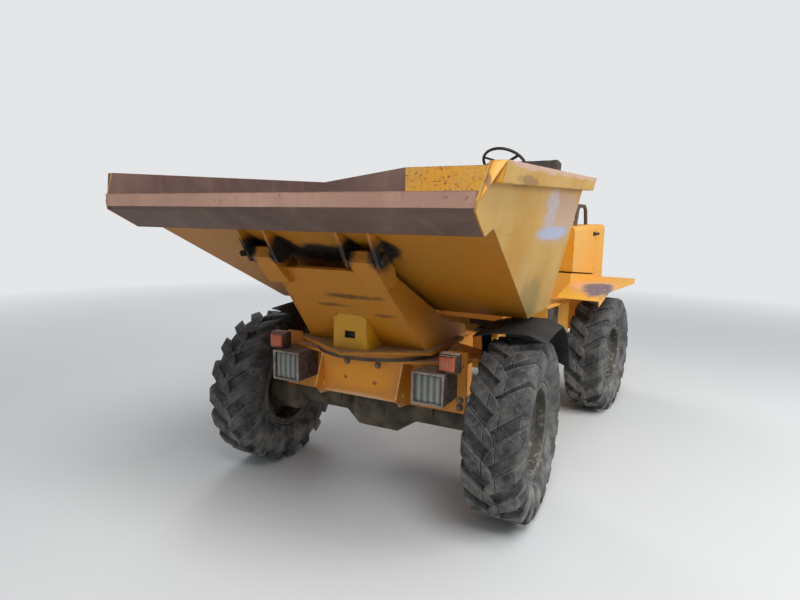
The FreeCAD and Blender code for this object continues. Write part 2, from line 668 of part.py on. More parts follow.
def knuckle():
    """Casting with the hinge pins and the rocking shaft, and the arm for the steering ram."""
    y = s["pivot_y"]
    low = s["hinge_low"] + s["hinge_plate"] + s["fit_gap"]
    high = s["hinge_high"] - s["hinge_plate"] - s["fit_gap"]
    barrel = facet_bar(78, high - low, Vector(0, y, low), Vector(0, 0, 1), 16)
    pin = Part.makeCylinder(s["hinge_pin"], s["hinge_high"] - s["hinge_low"], Vector(0, y, s["hinge_low"]))
    shaft = Part.makeCylinder(s["trunnion_radius"], 300, Vector(0, y, s["trunnion_z"]), Vector(0, 1, 0))
    collar = facet_bar(100, 38 - s["fit_gap"], Vector(0, y + 92, s["trunnion_z"]), Vector(0, 1, 0), 16)
    block = box(-78, 78, y, y + 96, s["trunnion_z"] - 90, s["trunnion_z"] + 90)
    arm = box(-236, 0, y - 48, y + 8, 640, 664)
    shape = joined([barrel, pin, shaft, collar, block, arm])
    eye = facet_bar(s["ram_pin"], 200, Vector(-200, y - 20, 560), Vector(0, 0, 1))
    item = feature_of("knuckle", shape.cut(eye))
    item.Placement = STEER
    return item


def steering_ram():
    foot = Vector(-240, 420, 640 - 42)
    head = STEER.multVec(Vector(-200, s["pivot_y"] - 20, 640 - 42))
    eye_width = 60
    pin_reach = 58
    room_to_close = 145
    ram("steer_ram", foot, head, Vector(0, 0, 1), s["steer_barrel"], s["steer_rod"], eye_width, pin_reach,
        room_to_close)


# Rear chassis, built in line with the front one and then turned with the hinge

def rear_frame():
    y0 = s["pivot_y"] + 130
    y1 = s["hood_rear"] - 60
    half = s["chassis_half"]
    plate = s["chassis_plate"]
    top = s["platform_z"] - 10
    web = [(y0, 470), (y0, 700), (y0 + 180, top), (y1, top), (y1, 470),
           (s["wheel_base"] + 260, 470), (s["wheel_base"] + 180, 570), (s["wheel_base"] - 180, 570),
           (s["wheel_base"] - 300, 470)]
    shapes = both_sides([side_plate(web, half - plate / 2, half + plate / 2)])
    shapes.append(box(-half - 8, half + 8, y0, y0 + 24, 440, 700))
    shapes.append(box(-half - 8, half + 8, y0 + 150, y0 + 170, 470, 700))
    shapes.append(box(-half - 8, half + 8, y1 - 20, y1, 470, 760))
    shapes.append(facet_bar(96, 160, Vector(0, y0, s["trunnion_z"]), Vector(0, 1, 0), 16))
    shape = joined(shapes)
    bore_radius = clear_of(s["trunnion_radius"] + s["fit_gap"], 16)
    bore = facet_bar(bore_radius, 400, Vector(0, y0 - 10, s["trunnion_z"]), Vector(0, 1, 0), 16)
    item = feature_of("rear_frame", shape.cut(bore))
    item.Placement = STEER
    return item


def placed(name, shape):
    """A piece of the rear unit: drawn straight, then set at the hinge's resting angle."""
    item = feature_of(name, shape)
    item.Placement = STEER
    return item


def counterweight():
    y0 = s["hood_rear"] - 60
    y1 = s["hood_rear"] + 70
    half = s["hood_half"]
    plan = [(-half, y0), (half, y0), (half, y1 - 60), (half - 70, y1), (-half + 70, y1), (-half, y1 - 60)]
    corners = [Vector(x, y, 520) for x, y in plan]
    block = Part.Face(Part.makePolygon(corners + corners[:1])).extrude(Vector(0, 0, s["ballast_high"] - 520))
    jaw = [box(-70, 70, y1 - 5, y1 + 95, z, z + 24) for z in (590, 670)]
    shape = joined([block] + jaw)
    bore = Part.makeCylinder(16, 400, Vector(0, y1 + 55, 500))
    return placed("counterweight", shape.cut(bore))


def rear_lamps():
    y1 = s["hood_rear"] + 70
    lamp = box(s["hood_half"] - 190, s["hood_half"] - 90, y1, y1 + 40, 960, 1040)
    placed("rear_lamps", Part.makeCompound(both_sides([lamp])))


def engine():
    block = box(-230, 230, s["wheel_base"] + 60, s["hood_rear"] - 160, 700, 1120)
    bell = facet_bar(190, 120, Vector(0, s["wheel_base"] - 60, 850), Vector(0, 1, 0))
    gearbox = box(-150, 150, s["wheel_base"] - 560, s["wheel_base"] - 60, 700, 900)
    feet = [box(-s["chassis_half"] + 8, s["chassis_half"] - 8, y, y + 70, 760, 800)
            for y in (s["wheel_base"] - 500, s["wheel_base"] + 320)]
    placed("engine", joined([block, bell, gearbox] + feet))


def tanks():
    """Fuel tank and hydraulic tank below the footplate."""
    y0 = s["platform_front"] + 20
    y1 = s["wheel_base"] - s["tyre_radius"] - 21
    x0 = s["chassis_half"] + 8
    top = s["platform_z"] - 10
    section = round_corners([(x0, 560), (620, 560), (620, top), (x0, top)], 30)
    corners = [Vector(x, y0, z) for x, z in section]
    tank = Part.Face(Part.makePolygon(corners + corners[:1])).extrude(Vector(0, y1 - y0, 0))
    placed("tanks", Part.makeCompound(both_sides([tank])))


def platform():
    z = s["platform_z"]
    y0 = s["platform_front"]
    y1 = s["hood_front"] - 30
    plate = box(-640, 640, y0, y1, z - 10, z)
    toe = box(-640, 640, y0 - 10, y0, z - 150, z + 60)
    return joined([plate, toe])


def rear_deck():
    """Footplate with its toe panel and the upright sheets round the engine bay."""
    z0 = s["platform_z"] - 10
    y0 = s["hood_front"] - 30
    y1 = s["hood_rear"] - 60
    split = s["hood_split"] + 7
    half = s["hood_half"]
    t = s["hood_sheet"]
    front_top = s["hood_low"] - 12
    front = box(-half, half, y0, y0 + t, z0, front_top)
    side = side_plate([(y0, z0), (y1, z0), (y1, s["ballast_high"]), (split, s["ballast_high"]),
                       (split, s["hood_split_low"] - 12), (y0 + 30, front_top), (y0, front_top)],
                      half - t, half)
    shelf = box(s["chassis_half"] - 8, half, y0, y1, z0, z0 + t)
    frame = doc.rear_frame.Shape.copy()
    frame.Placement = Placement()
    placed("rear_deck", joined([platform(), front] + both_sides([side, shelf])).cut(frame))


def rear_mudguards():
    t = s["guard_sheet"]
    z = s["guard_z"]
    x0 = s["hood_half"]
    x1 = s["guard_half"]
    line = [(1720, z - 88), (2020, z), (2930, z)]
    inner = [(y, h - t) for y, h in reversed(line)]
    top = side_plate(line + inner, x0, x1)
    drop = [(y, h - 48) for y, h in reversed(line)]
    flange = side_plate(line + drop, x1 - t, x1)
    shape = joined([top, flange])
    placed("rear_mudguards", Part.makeCompound(both_sides([shape])))


def rounded_hood(ends, half, radius):
    """A block between two ends (y, low, high) with its upper edges rounded by flats."""
    faces = []
    rings = []
    for y, low, high in ends:
        path = round_corners([(half, low), (half, high), (-half, high), (-half, low)], radius)
        rings.append([Vector(x, y, z) for x, z in path])
    here, there = rings
    for a, b in zip(range(len(here)), list(range(1, len(here))) + [0]):
        faces.append((here[a], here[b], there[b], there[a]))
    faces += [tuple(here), tuple(reversed(there))]
    shell = Part.Shell([Part.Face(Part.makePolygon(list(corners) + [corners[0]])) for corners in faces])
    solid = Part.Solid(shell)
    if solid.Volume < 0:
        solid.reverse()
    return solid


def hood_block():
    """The bonnet as a full block."""
    return rounded_hood([(s["hood_front"], s["hood_low"], s["hood_front_high"]),
                         (s["hood_split"], s["hood_split_low"], s["hood_high"])], s["hood_half"], 35)


def hinge_place():
    return s["hood_split"] + 7, s["hood_high"] + 18


def bonnet():
    """Sheet bonnet with its hinge leaves and pins at the rear."""
    t = s["hood_sheet"]
    y0 = s["hood_front"] + t
    y1 = s["hood_split"] - t
    inner = rounded_hood([(y0, 1000, s["hood_front_high"] - t), (y1, 1000, s["hood_high"] - t)],
                         s["hood_half"] - t, 30)
    y, z = hinge_place()
    leaf = side_plate([(y - 75, z - 22), (y - 7, z - 18), (y + 12, z - 9), (y + 12, z + 10),
                       (y - 10, z + 12), (y - 70, z - 8)], 402, 414)
    pin = cross_bar(8, 376, 414, y, z)
    placed("bonnet", joined([hood_block().cut(inner)] + both_sides([leaf, pin])))


def radiator_cowl():
    """Fixed rear part of the engine cover: sheet box with a slatted outlet and the hinge lugs."""
    t = s["hood_sheet"]
    y0 = s["hood_split"] + 7
    y1 = s["hood_rear"]
    low = s["ballast_high"]
    half = s["hood_half"]
    outer = rounded_hood([(y0, low, s["hood_high"]), (y1, low, s["hood_high"])], half, 35)
    under = s["hood_high"] - t
    inner = rounded_hood([(y0 + t, low - 1, under), (y1 - t, low - 1, under)], half - t, 30)
    outlet = box(-420, 420, y1 - 20, y1 + 20, low + 90, s["hood_high"] - 90)
    slats = []
    for number in range(6):
        z = low + 110 + 46 * number
        slat = [(y1 - t, z), (y1 - 1, z - 14), (y1 - 1, z - 8), (y1 - t, z + 6)]
        slats.append(side_plate(slat, -430, 430))
    posts = [box(x - 8, x + 8, y1 - t - 8, y1 - 1, low + 80, s["hood_high"] - 80) for x in (-140, 140)]
    y, z = hinge_place()
    lug = side_plate([(y + 2, z - 18), (y + 50, z - 18), (y + 13, z + 13), (y - 10, z + 10), (y - 12, z - 6),
                      (y + 2, z - 12)], 380, 396)
    lug = lug.cut(facet_bar(clear_of(8 + s["fit_gap"], 8), 200, Vector(300, y, z), Vector(1, 0, 0), 8))
    shape = joined([outer.cut(inner).cut(outlet)] + slats + posts + both_sides([lug]))
    placed("radiator_cowl", shape)


def seat():
    half = s["seat_half"]
    top = s["hood_high"]
    base = box(-half + 40, half - 40, 2240, 2620, top - 50, top + 60)
    placed("seat_base", base.cut(hood_block()))
    cushion = box(-half, half, 2200, 2640, top + 60, top + 140)
    cushion = cushion.makeChamfer(18, cushion.Edges)
    placed("seat_cushion", cushion)
    back = box(-half, half, 0, 90, 0, 470)
    back = back.makeChamfer(20, back.Edges)
    back.rotate(Vector(0, 0, 0), Vector(1, 0, 0), -8)
    back.translate(Vector(0, 2600, top + 141))
    placed("seat_back", back.cut(cushion))


def console():
    half = 190
    shape = side_plate([(1500, s["platform_z"]), (1690, s["platform_z"]), (1660, 1560), (1560, 1640),
                        (1520, 1600)], -half, half)
    placed("console", shape)
    start = Vector(0, 1590, 1600)
    end = Vector(0, s["wheel_y"], s["wheel_z"])
    along = end - start
    column = facet_bar(32, along.Length - 60, start, along)
    placed("steering_column", column.cut(shape))
    axis = along / along.Length
    radius = s["wheel_radius"]
    tube = [(along_, across + radius - 15) for along_, across in regular(15, 6)]
    ring = faceted(tube, 20)
    ring.Placement = Placement(end, Rotation(Vector(1, 0, 0), axis))
    hub = facet_bar(40, 60, end - axis * 60, axis)
    side = Vector(1, 0, 0)
    up = axis.cross(side)
    spokes = []
    for angle in (90, 210, 330):
        way = side * cos(radians(angle)) + up * sin(radians(angle))
        spokes.append(facet_bar(9, radius - 15, end - axis * 20, way + axis * 0.08, 6))
    knob_place = end + (side * cos(radians(150)) + up * sin(radians(150))) * (radius - 15)
    knob = facet_bar(19, 52, knob_place + axis * 8, axis, 10)
    placed("steering_wheel", joined([ring, hub, knob] + spokes))


def levers():
    shapes = []
    lean = Vector(0, 0.25, 1)
    for x in (-165, -125, 165):
        foot = Vector(x, 1600, 1560)
        knob = faceted([(0, 0), (0, 12), (12, 20), (28, 20), (40, 10), (40, 0)], 8)
        knob.Placement = Placement(foot + lean * 180, Rotation(Vector(1, 0, 0), lean))
        shapes.append(joined([facet_bar(7, 190, foot, lean, 6), knob]))
    console_shape = doc.console.Shape.copy()
    console_shape.Placement = Placement()
    placed("levers", Part.makeCompound([shape.cut(console_shape) for shape in shapes]))


def hip_rails():
    """Bent tube on each side of the seat, standing on the bonnet."""
    x = 532
    foot = 1560
    points = [Vector(x, 2332, foot), Vector(x, 2378, 1715), Vector(x, 2420, 1750), Vector(x, 2570, 1750),
              Vector(x, 2612, 1715), Vector(x, 2650, foot)]
    ring = regular(17, 8)
    section = Part.makePolygon([Vector(x + a, 2332 + b, foot) for a, b in ring + ring[:1]])
    rail = Part.Wire(Part.makePolygon(points)).makePipeShell([section], True, False, 1)
    placed("hip_rails", Part.makeCompound(both_sides([rail.cut(hood_block())])))


# Wheels

def tyre_bar():
    """One slanted bar of the outer half of the tread, its inner end past the middle."""
    lean = tan(radians(s["lug_slant"]))
    half = s["lug_width"] / 2 / cos(radians(s["lug_slant"]))
    middle = 62

    def corner(x, radius):
        """Place in the bar's wall for the bar's farther corner to lie at a radius."""
        along = (x - middle) * lean
        away = abs(along) + half
        return Vector(x, along - half, (radius ** 2 - away ** 2) ** 0.5)

    inner = -18
    shoulder = 136
    wall = [corner(inner, 420), corner(inner, s["tyre_radius"]), corner(shoulder, s["tyre_radius"] - 4),
            corner(s["tyre_width"] / 2 - 1, 380)]
    return Part.Face(Part.makePolygon(wall + wall[:1])).extrude(Vector(0, 2 * half, 0))


def tyre_shape():
    """Carcass with its bars, middle at the origin, axle along X, outer side towards +X."""
    wide = s["tyre_width"] / 2
    tread = s["tyre_radius"] - s["lug_height"]
    half = [(s["bead_half"], s["bead_radius"]), (wide, 352), (wide - 26, tread - 20)]
    carcass = faceted(half + [(-x, r) for x, r in reversed(half)], int(s["wheel_facets"]))
    bar = tyre_bar()
    other = mirrored(bar)
    step = 360 / int(s["lug_count"])
    bars = []
    for number in range(int(s["lug_count"])):
        for shape, turn in ((bar, 0), (other, 0.5)):
            copy = shape.copy()
            copy.rotate(Vector(0, 0, 0), Vector(1, 0, 0), (number + turn) * step)
            bars.append(copy)
    return joined([carcass] + bars)


def rim_shape():
    """Rim with its disc, hub and cap; the outer side faces +X."""
    w = s["rim_width"] / 2
    wall = s["rim_wall"]
    bead = s["bead_radius"] - s["fit_gap"]
    lip = s["bead_radius"] + s["rim_flange"]
    hub = s["hub_radius"]
    disc = s["disc_offset"]
    inner = bead - wall
    points = [(-w, lip), (-w + wall, lip), (-w + wall, bead), (w - wall, bead), (w - wall, lip), (w, lip),
              (w, inner), (disc + 34, inner), (disc + 10, hub), (52, hub - 10), (52, 0), (-58, 0),
              (-58, hub), (disc, hub), (disc, inner), (-w, inner)]
    bore_radius = clear_of(s["spindle_radius"] + s["fit_gap"])
    bore = facet_bar(bore_radius, w + disc + 15, Vector(-w, 0, 0), Vector(1, 0, 0))
    return faceted(points, int(s["wheel_facets"])).cut(bore)


# Name, side (+1 left), place along the machine, whether it turns with the rear chassis.
WHEELS = [
    ("front_left", 1, 0, False),
    ("front_right", -1, 0, False),
    ("rear_left", 1, s["wheel_base"], True),
    ("rear_right", -1, s["wheel_base"], True),
]


def wheels():
    left = tyre_shape()
    shapes = {1: left, -1: mirrored(left)}
    for name, side, y, steered in WHEELS:
        spot = Placement(Vector(side * s["track"] / 2, y, s["tyre_radius"]), Rotation())
        if steered:
            spot = STEER.multiply(spot)
        rubber = feature_of("tyre_" + name, shapes[side])
        rubber.Placement = spot
        rim = feature_of("rim_" + name, rim_shape())
        outward = Rotation(Vector(0, 0, 1), 0 if side > 0 else 180)
        rim.Placement = spot.multiply(Placement(Vector(0, 0, 0), outward))


# The parts in order; later ones are cut to those they stand against

front_frame()
doc.recompute()
front_panel()
axle("front_axle", 0, s["chassis_low"], Placement(), 1)
slew_ring()
front_lamps()
front_mudguards()
turntable()
yoke()
ram_pocket()
tipping_ram()
skip_bowl()
skip_lip()
skip_edges()
skip_brackets()
knuckle()
steering_ram()
rear_frame()
axle("rear_axle", s["wheel_base"], s["chassis_low"], STEER, -1)
counterweight()
rear_lamps()
engine()
tanks()
rear_deck()
rear_mudguards()
bonnet()
radiator_cowl()
seat()
console()
levers()
hip_rails()
wheels()
doc.recompute()

pieces = [item for item in doc.Objects
          if item.TypeId == "PartDesign::Body" or (item.TypeId == "Part::Feature")]
bad = [item.Label for item in doc.Objects if "Invalid" in item.State or "Error" in item.State]
if bad:
    raise RuntimeError("objects in error: " + ", ".join(bad))

# Move the whole machine over the middle of its footprint
whole = FreeCAD.BoundBox()
for piece in pieces:
    if piece.Shape.isNull() or not piece.Shape.isValid():
        raise RuntimeError("bad shape: " + piece.Label)
    whole.add(piece.Shape.optimalBoundingBox())
shift = Placement(Vector(-whole.Center.x, -whole.Center.y, -whole.ZMin), Rotation())
os.makedirs("parts", exist_ok=True)
for piece in pieces:
    piece.Placement = shift.multiply(piece.Placement)
doc.recompute()
for piece in pieces:
    piece.Shape.exportStep("parts/%s.step" % piece.Label)
print("pieces", len(pieces), "shift", shift.Base, "size", whole.XLength, whole.YLength, whole.ZLength)
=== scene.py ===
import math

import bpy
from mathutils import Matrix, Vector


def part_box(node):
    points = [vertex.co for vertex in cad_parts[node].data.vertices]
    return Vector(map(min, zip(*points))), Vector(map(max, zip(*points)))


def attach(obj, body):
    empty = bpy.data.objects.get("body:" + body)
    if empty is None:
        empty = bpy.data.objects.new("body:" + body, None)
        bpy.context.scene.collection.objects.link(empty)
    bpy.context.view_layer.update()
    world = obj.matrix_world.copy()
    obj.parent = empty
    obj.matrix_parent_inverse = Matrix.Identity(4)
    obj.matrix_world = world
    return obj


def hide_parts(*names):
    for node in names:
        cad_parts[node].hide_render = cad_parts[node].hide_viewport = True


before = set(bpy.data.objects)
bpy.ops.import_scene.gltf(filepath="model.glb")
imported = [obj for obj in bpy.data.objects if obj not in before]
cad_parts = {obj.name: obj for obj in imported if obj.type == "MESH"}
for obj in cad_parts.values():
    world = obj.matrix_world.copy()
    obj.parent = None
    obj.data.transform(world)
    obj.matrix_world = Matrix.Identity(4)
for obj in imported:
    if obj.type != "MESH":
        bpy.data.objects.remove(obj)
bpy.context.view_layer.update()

# %% [markdown]
# # A site dumper, dressed over its fixed frame
#
# The frame above is the machine's steelwork at its real size: a skip on a slewing ring, two chassis joined
# by a hinge, four wheels and a driver's place over the engine. This lesson gives it paint, rust, rubber and
# glass, adds the small fittings that a welder or fitter would bolt on, and sets up the photograph's view.

# %% [markdown]
# ## Two places to measure from
#
# The front chassis stands straight, and the rear one is turned about the hinge. A real fitter measures on
# each chassis by itself, so one helper places a point on the front half and the other turns it with the rear.
# The front axle gives the zero point: y is measured back from it and z up from the ground.

# %% Places on the front and on the rear chassis
AXLE_LOW, AXLE_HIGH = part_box("front_axle")
FRONT_TYRE_LOW, FRONT_TYRE_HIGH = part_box("tyre_front_left")
ORIGIN = Vector(((AXLE_LOW.x + AXLE_HIGH.x) / 2, (FRONT_TYRE_LOW.y + FRONT_TYRE_HIGH.y) / 2, 0))
HINGE_Y = 1.125
REAR_TURN = math.radians(-7.6)
SIDES = (-1, 1)  # the machine's right and its left


def front(x, y, z):
    """A point on the front chassis, metres from the front axle's middle."""
    return ORIGIN + Vector((x, y, z))


def rear(x, y, z):
    """The same for the rear chassis, which is turned about the hinge."""
    turned = Matrix.Rotation(REAR_TURN, 3, "Z") @ Vector((x, y - HINGE_Y, 0))
    return ORIGIN + Vector((turned.x, turned.y + HINGE_Y, z))


def rear_turn(place, lean=0.0):
    """A matrix that puts a piece on the turned rear chassis and leans it about its own X."""
    return Matrix.Translation(place) @ Matrix.Rotation(REAR_TURN, 4, "Z") @ Matrix.Rotation(lean, 4, "X")


def rear_way(x, y, z):
    """A direction on the rear chassis."""
    return rear(x, y, z) - rear(0, 0, 0)


print("front axle at", [round(value, 3) for value in ORIGIN])

# %% [markdown]
# ## The photograph's camera
#
# A phone's wide lens, held at chest height near the left front corner, and nearly level. Perspective this
# strong is part of how the machine looks, so the camera's place and its three angles are set by number.

# %% Camera
CAMERA_PLACE = (1.556, -2.876, 1.582)
CAMERA_YAW, CAMERA_PITCH, CAMERA_ROLL = 26.86, -8.07, 1.06
FOCAL_PIXELS, IMAGE_WIDTH, SENSOR_WIDTH = 554.6, 800, 36.0


def camera_matrix(place, yaw, pitch, roll):
    """Right, up and back of a camera that looks along yaw and pitch, as a 4 x 4 matrix."""
    yaw, pitch, roll = (math.radians(angle) for angle in (yaw, pitch, roll))
    look = Vector((-math.sin(yaw) * math.cos(pitch), math.cos(yaw) * math.cos(pitch), math.sin(pitch)))
    level = Vector((math.cos(yaw), math.sin(yaw), 0))
    top = level.cross(look)
    right = level * math.cos(roll) + top * math.sin(roll)
    up = top * math.cos(roll) - level * math.sin(roll)
    return Matrix.Translation(place) @ Matrix((right, up, -look)).transposed().to_4x4()


camera_data = bpy.data.cameras.new("photo_camera")
camera_data.sensor_width = SENSOR_WIDTH
camera_data.lens = FOCAL_PIXELS / IMAGE_WIDTH * SENSOR_WIDTH
camera = bpy.data.objects.new("photo_camera", camera_data)
bpy.context.scene.collection.objects.link(camera)
camera.matrix_world = camera_matrix(front(*CAMERA_PLACE), CAMERA_YAW, CAMERA_PITCH, CAMERA_ROLL)
bpy.context.scene.camera = camera
print("lens", round(camera_data.lens, 2), "mm")

# %% [markdown]
# ## Colours and nodes
#
# A paint shop mixes by a swatch, and a swatch is an sRGB colour, while the renderer counts in linear light.
# One function turns a hex value from one to the other. A second one adds a shader node with its settings and
# links, so that a finish can be read as a short list of what lies over what.

# %% Hex colours and one way to add a node
def linear(code):
    """An sRGB hex colour such as #C98A2E as a linear RGBA tuple."""
    parts = [int(code[i:i + 2], 16) / 255 for i in (1, 3, 5)]
    parts = [part / 12.92 if part <= 0.04045 else ((part + 0.055) / 1.055) ** 2.4 for part in parts]
    return tuple(parts) + (1.0,)


def plug(tree, node, inputs):
    """Fills a node's sockets, by name or number, with values or with other nodes' outputs."""
    for key, value in inputs.items():
        if isinstance(value, bpy.types.NodeSocket):
            tree.links.new(value, node.inputs[key])
        else:
            node.inputs[key].default_value = value


def add_node(tree, kind, inputs=None, settings=None, out=0):
    """Adds one shader node and gives one of its outputs, by number or name; settings are its attributes."""
    node = tree.nodes.new("ShaderNode" + kind)
    for name, value in (settings or {}).items():
        setattr(node, name, value)
    plug(tree, node, inputs or {})
    return node.outputs[out]


TIMES = {"operation": "MULTIPLY", "use_clamp": True}
PLUS = {"operation": "ADD", "use_clamp": True}
MOST = {"operation": "MAXIMUM", "use_clamp": True}
LESS = {"operation": "SUBTRACT"}  # not clamped, since a distance or a relief may go below zero
BACKDROP = linear("#E4E6E8")
print("backdrop", [round(part, 3) for part in BACKDROP])

# %% [markdown]
# ## Light and floor
#
# The yard has an overcast sky, which is one huge soft lamp. A studio copies that with a pale world, one broad
# area lamp overhead in front and a weaker one from the side. The world shows the camera a paler grey than it
# lights the machine with, so the backdrop stays light without washing the paint out.

# %% World, lamps and floor
bpy.context.scene.view_settings.view_transform = "Standard"
world = bpy.data.worlds.new("overcast_studio")
bpy.context.scene.world = world
world.use_nodes = True
tree = world.node_tree
tree.nodes.clear()
camera_ray = add_node(tree, "LightPath", out="Is Camera Ray")
glass_ray = add_node(tree, "LightPath", out="Is Transmission Ray")
seen = add_node(tree, "Math", {0: camera_ray, 1: glass_ray}, MOST)
light = add_node(tree, "Background", {"Color": linear("#E6ECF2"), "Strength": 0.52})
backdrop = add_node(tree, "Background", {"Color": BACKDROP, "Strength": 1.0})
sky = add_node(tree, "MixShader", {0: seen, 1: light, 2: backdrop})
plug(tree, tree.nodes.new("ShaderNodeOutputWorld"), {"Surface": sky})


def area_lamp(name, place, target, size, watts):
    """A round soft lamp that looks from a place at a target."""
    data = bpy.data.lights.new(name, "AREA")
    data.shape = "DISK"
    data.size = size
    data.energy = watts
    lamp = bpy.data.objects.new(name, data)
    bpy.context.scene.collection.objects.link(lamp)
    lamp.location = place
    lamp.rotation_euler = (Vector(target) - Vector(place)).to_track_quat("-Z", "Y").to_euler()


area_lamp("sky_lamp", (2.5, -3.5, 6.5), (0, 0, 0.8), 4.5, 420)
area_lamp("side_lamp", (6.0, 1.0, 3.2), (0.5, 0, 0.9), 3.0, 170)
area_lamp("far_lamp", (-4.5, 4.5, 5.0), (0, 0, 0.9), 3.5, 160)

HAZE_START, HAZE_END = 4.0, 11.0  # metres from the middle, over which the floor fades into the backdrop
bpy.ops.object.select_all(action="DESELECT")
bpy.ops.mesh.primitive_plane_add(size=60, location=(0, 0, 0))
floor = bpy.context.object
floor.name = "studio_floor"
floor_material = bpy.data.materials.new("matt_floor")
floor_material.use_nodes = True
tree = floor_material.node_tree
floor_shader = tree.nodes["Principled BSDF"]
plug(tree, floor_shader, {"Base Color": linear("#C9CACA"), "Roughness": 0.9})
place = add_node(tree, "TexCoord", out="Object")
far = add_node(tree, "VectorMath", {0: place}, {"operation": "LENGTH"}, "Value")
fade = add_node(tree, "MapRange", {"Value": far, "From Min": HAZE_START, "From Max": HAZE_END})
fade = add_node(tree, "Math", {0: fade, 1: add_node(tree, "LightPath", out="Is Camera Ray")}, TIMES)
haze = add_node(tree, "Emission", {"Color": BACKDROP, "Strength": 1.0})
blend = add_node(tree, "MixShader", {0: fade, 1: floor_shader.outputs[0], 2: haze})
plug(tree, tree.nodes["Material Output"], {"Surface": blend})
floor.data.materials.append(floor_material)

# %% [markdown]
# ## Patterns that paint and dirt follow
#
# Rust, dust and fading each come in patches of their own size. A noise on Object coordinates, cut between two
# values, gives such patches in real metres: 34 waves per metre are rust spots 30 mm across, 14 are streaks
# 70 mm wide, and 2.2 are clouds of half a metre. Edges are found where a rounded normal leaves the flat one.

# %% Noise, patches, edges and stains
def new_material(name):
    """A material with its node tree and its shader."""
    material = bpy.data.materials.new(name)
    material.use_nodes = True
    return material, material.node_tree, material.node_tree.nodes["Principled BSDF"]


def noise(tree, scale, detail, stretch=(1, 1, 1), rough=0.55):
    """Noise on Object coordinates; scale is in waves per metre, stretch squeezes it along an axis."""
    place = add_node(tree, "TexCoord", out="Object")
    place = add_node(tree, "Mapping", {"Vector": place, "Scale": stretch})
    return add_node(tree, "TexNoise", {"Vector": place, "Scale": scale, "Detail": detail, "Roughness": rough})


def patches(tree, scale, detail, low, high, stretch=(1, 1, 1), rough=0.55):
    """The noise cut into patches: zero where it is below low and one where it is above high."""
    value = noise(tree, scale, detail, stretch, rough)
    return add_node(tree, "MapRange", {"Value": value, "From Min": low, "From Max": high})


def layer(tree, colour, mask, tone, amount=1.0):
    """A tone laid over a colour where the mask is, by an amount."""
    if amount != 1.0:
        mask = add_node(tree, "Math", {0: mask, 1: amount}, TIMES)
    return add_node(tree, "Mix", {0: mask, 6: colour, 7: tone}, {"data_type": "RGBA"}, 2)


def edge_mask(tree, radius):
    """Zero on a flat, growing to one where the surface bends from 6 to 26 degrees within radius metres."""
    soft = add_node(tree, "Bevel", {"Radius": radius}, {"samples": 4})
    flat = add_node(tree, "NewGeometry", out="Normal")
    alike = add_node(tree, "VectorMath", {0: soft, 1: flat}, {"operation": "DOT_PRODUCT"}, "Value")
    return add_node(tree, "MapRange", {"Value": alike, "From Min": 0.995, "From Max": 0.9})


def low_down(tree, top, bottom):
    """Zero at top metres above the ground, growing to one at bottom metres."""
    height = add_node(tree, "SeparateXYZ", {0: add_node(tree, "TexCoord", out="Object")}, out=2)
    return add_node(tree, "MapRange", {"Value": height, "From Min": top, "From Max": bottom})


def stain(tree, centre, reach):
    """One inside a ragged oval of half sizes reach round centre, and zero outside it."""
    place = add_node(tree, "TexCoord", out="Object")
    offset = add_node(tree, "VectorMath", {0: place, 1: tuple(centre)}, {"operation": "SUBTRACT"})
    shrunk = add_node(tree, "VectorMath", {0: offset, 1: reach}, {"operation": "DIVIDE"})
    far = add_node(tree, "VectorMath", {0: shrunk}, {"operation": "LENGTH"}, "Value")
    frayed = add_node(tree, "Math", {0: noise(tree, 9, 9, rough=0.75), 1: 1.5}, TIMES)
    ragged = add_node(tree, "Math", {0: far, 1: frayed}, LESS)
    inside = add_node(tree, "MapRange", {"Value": ragged, "From Min": 0.42, "From Max": -0.02})
    patchy = add_node(tree, "Math", {0: patches(tree, 40, 6, 0.30, 0.52, rough=0.7), 1: 0.35}, PLUS)
    return add_node(tree, "Math", {0: inside, 1: patchy}, TIMES)


print("pattern helpers ready")

# %% [markdown]
# ## Paint, rust and dirt
#
# Plant paint is a thick alkyd enamel, brushed or sprayed over primer. It fades in the sun, chips to rust on
# edges and holds dust low down. All of that follows one recipe, so one function builds it: a faded and a
# fresh tone in large clouds, streaks that run down, scratches, rust spots, and rust along the edges where a
# rounded normal differs from the flat one. Each finish is the same recipe with its own colours and amounts.

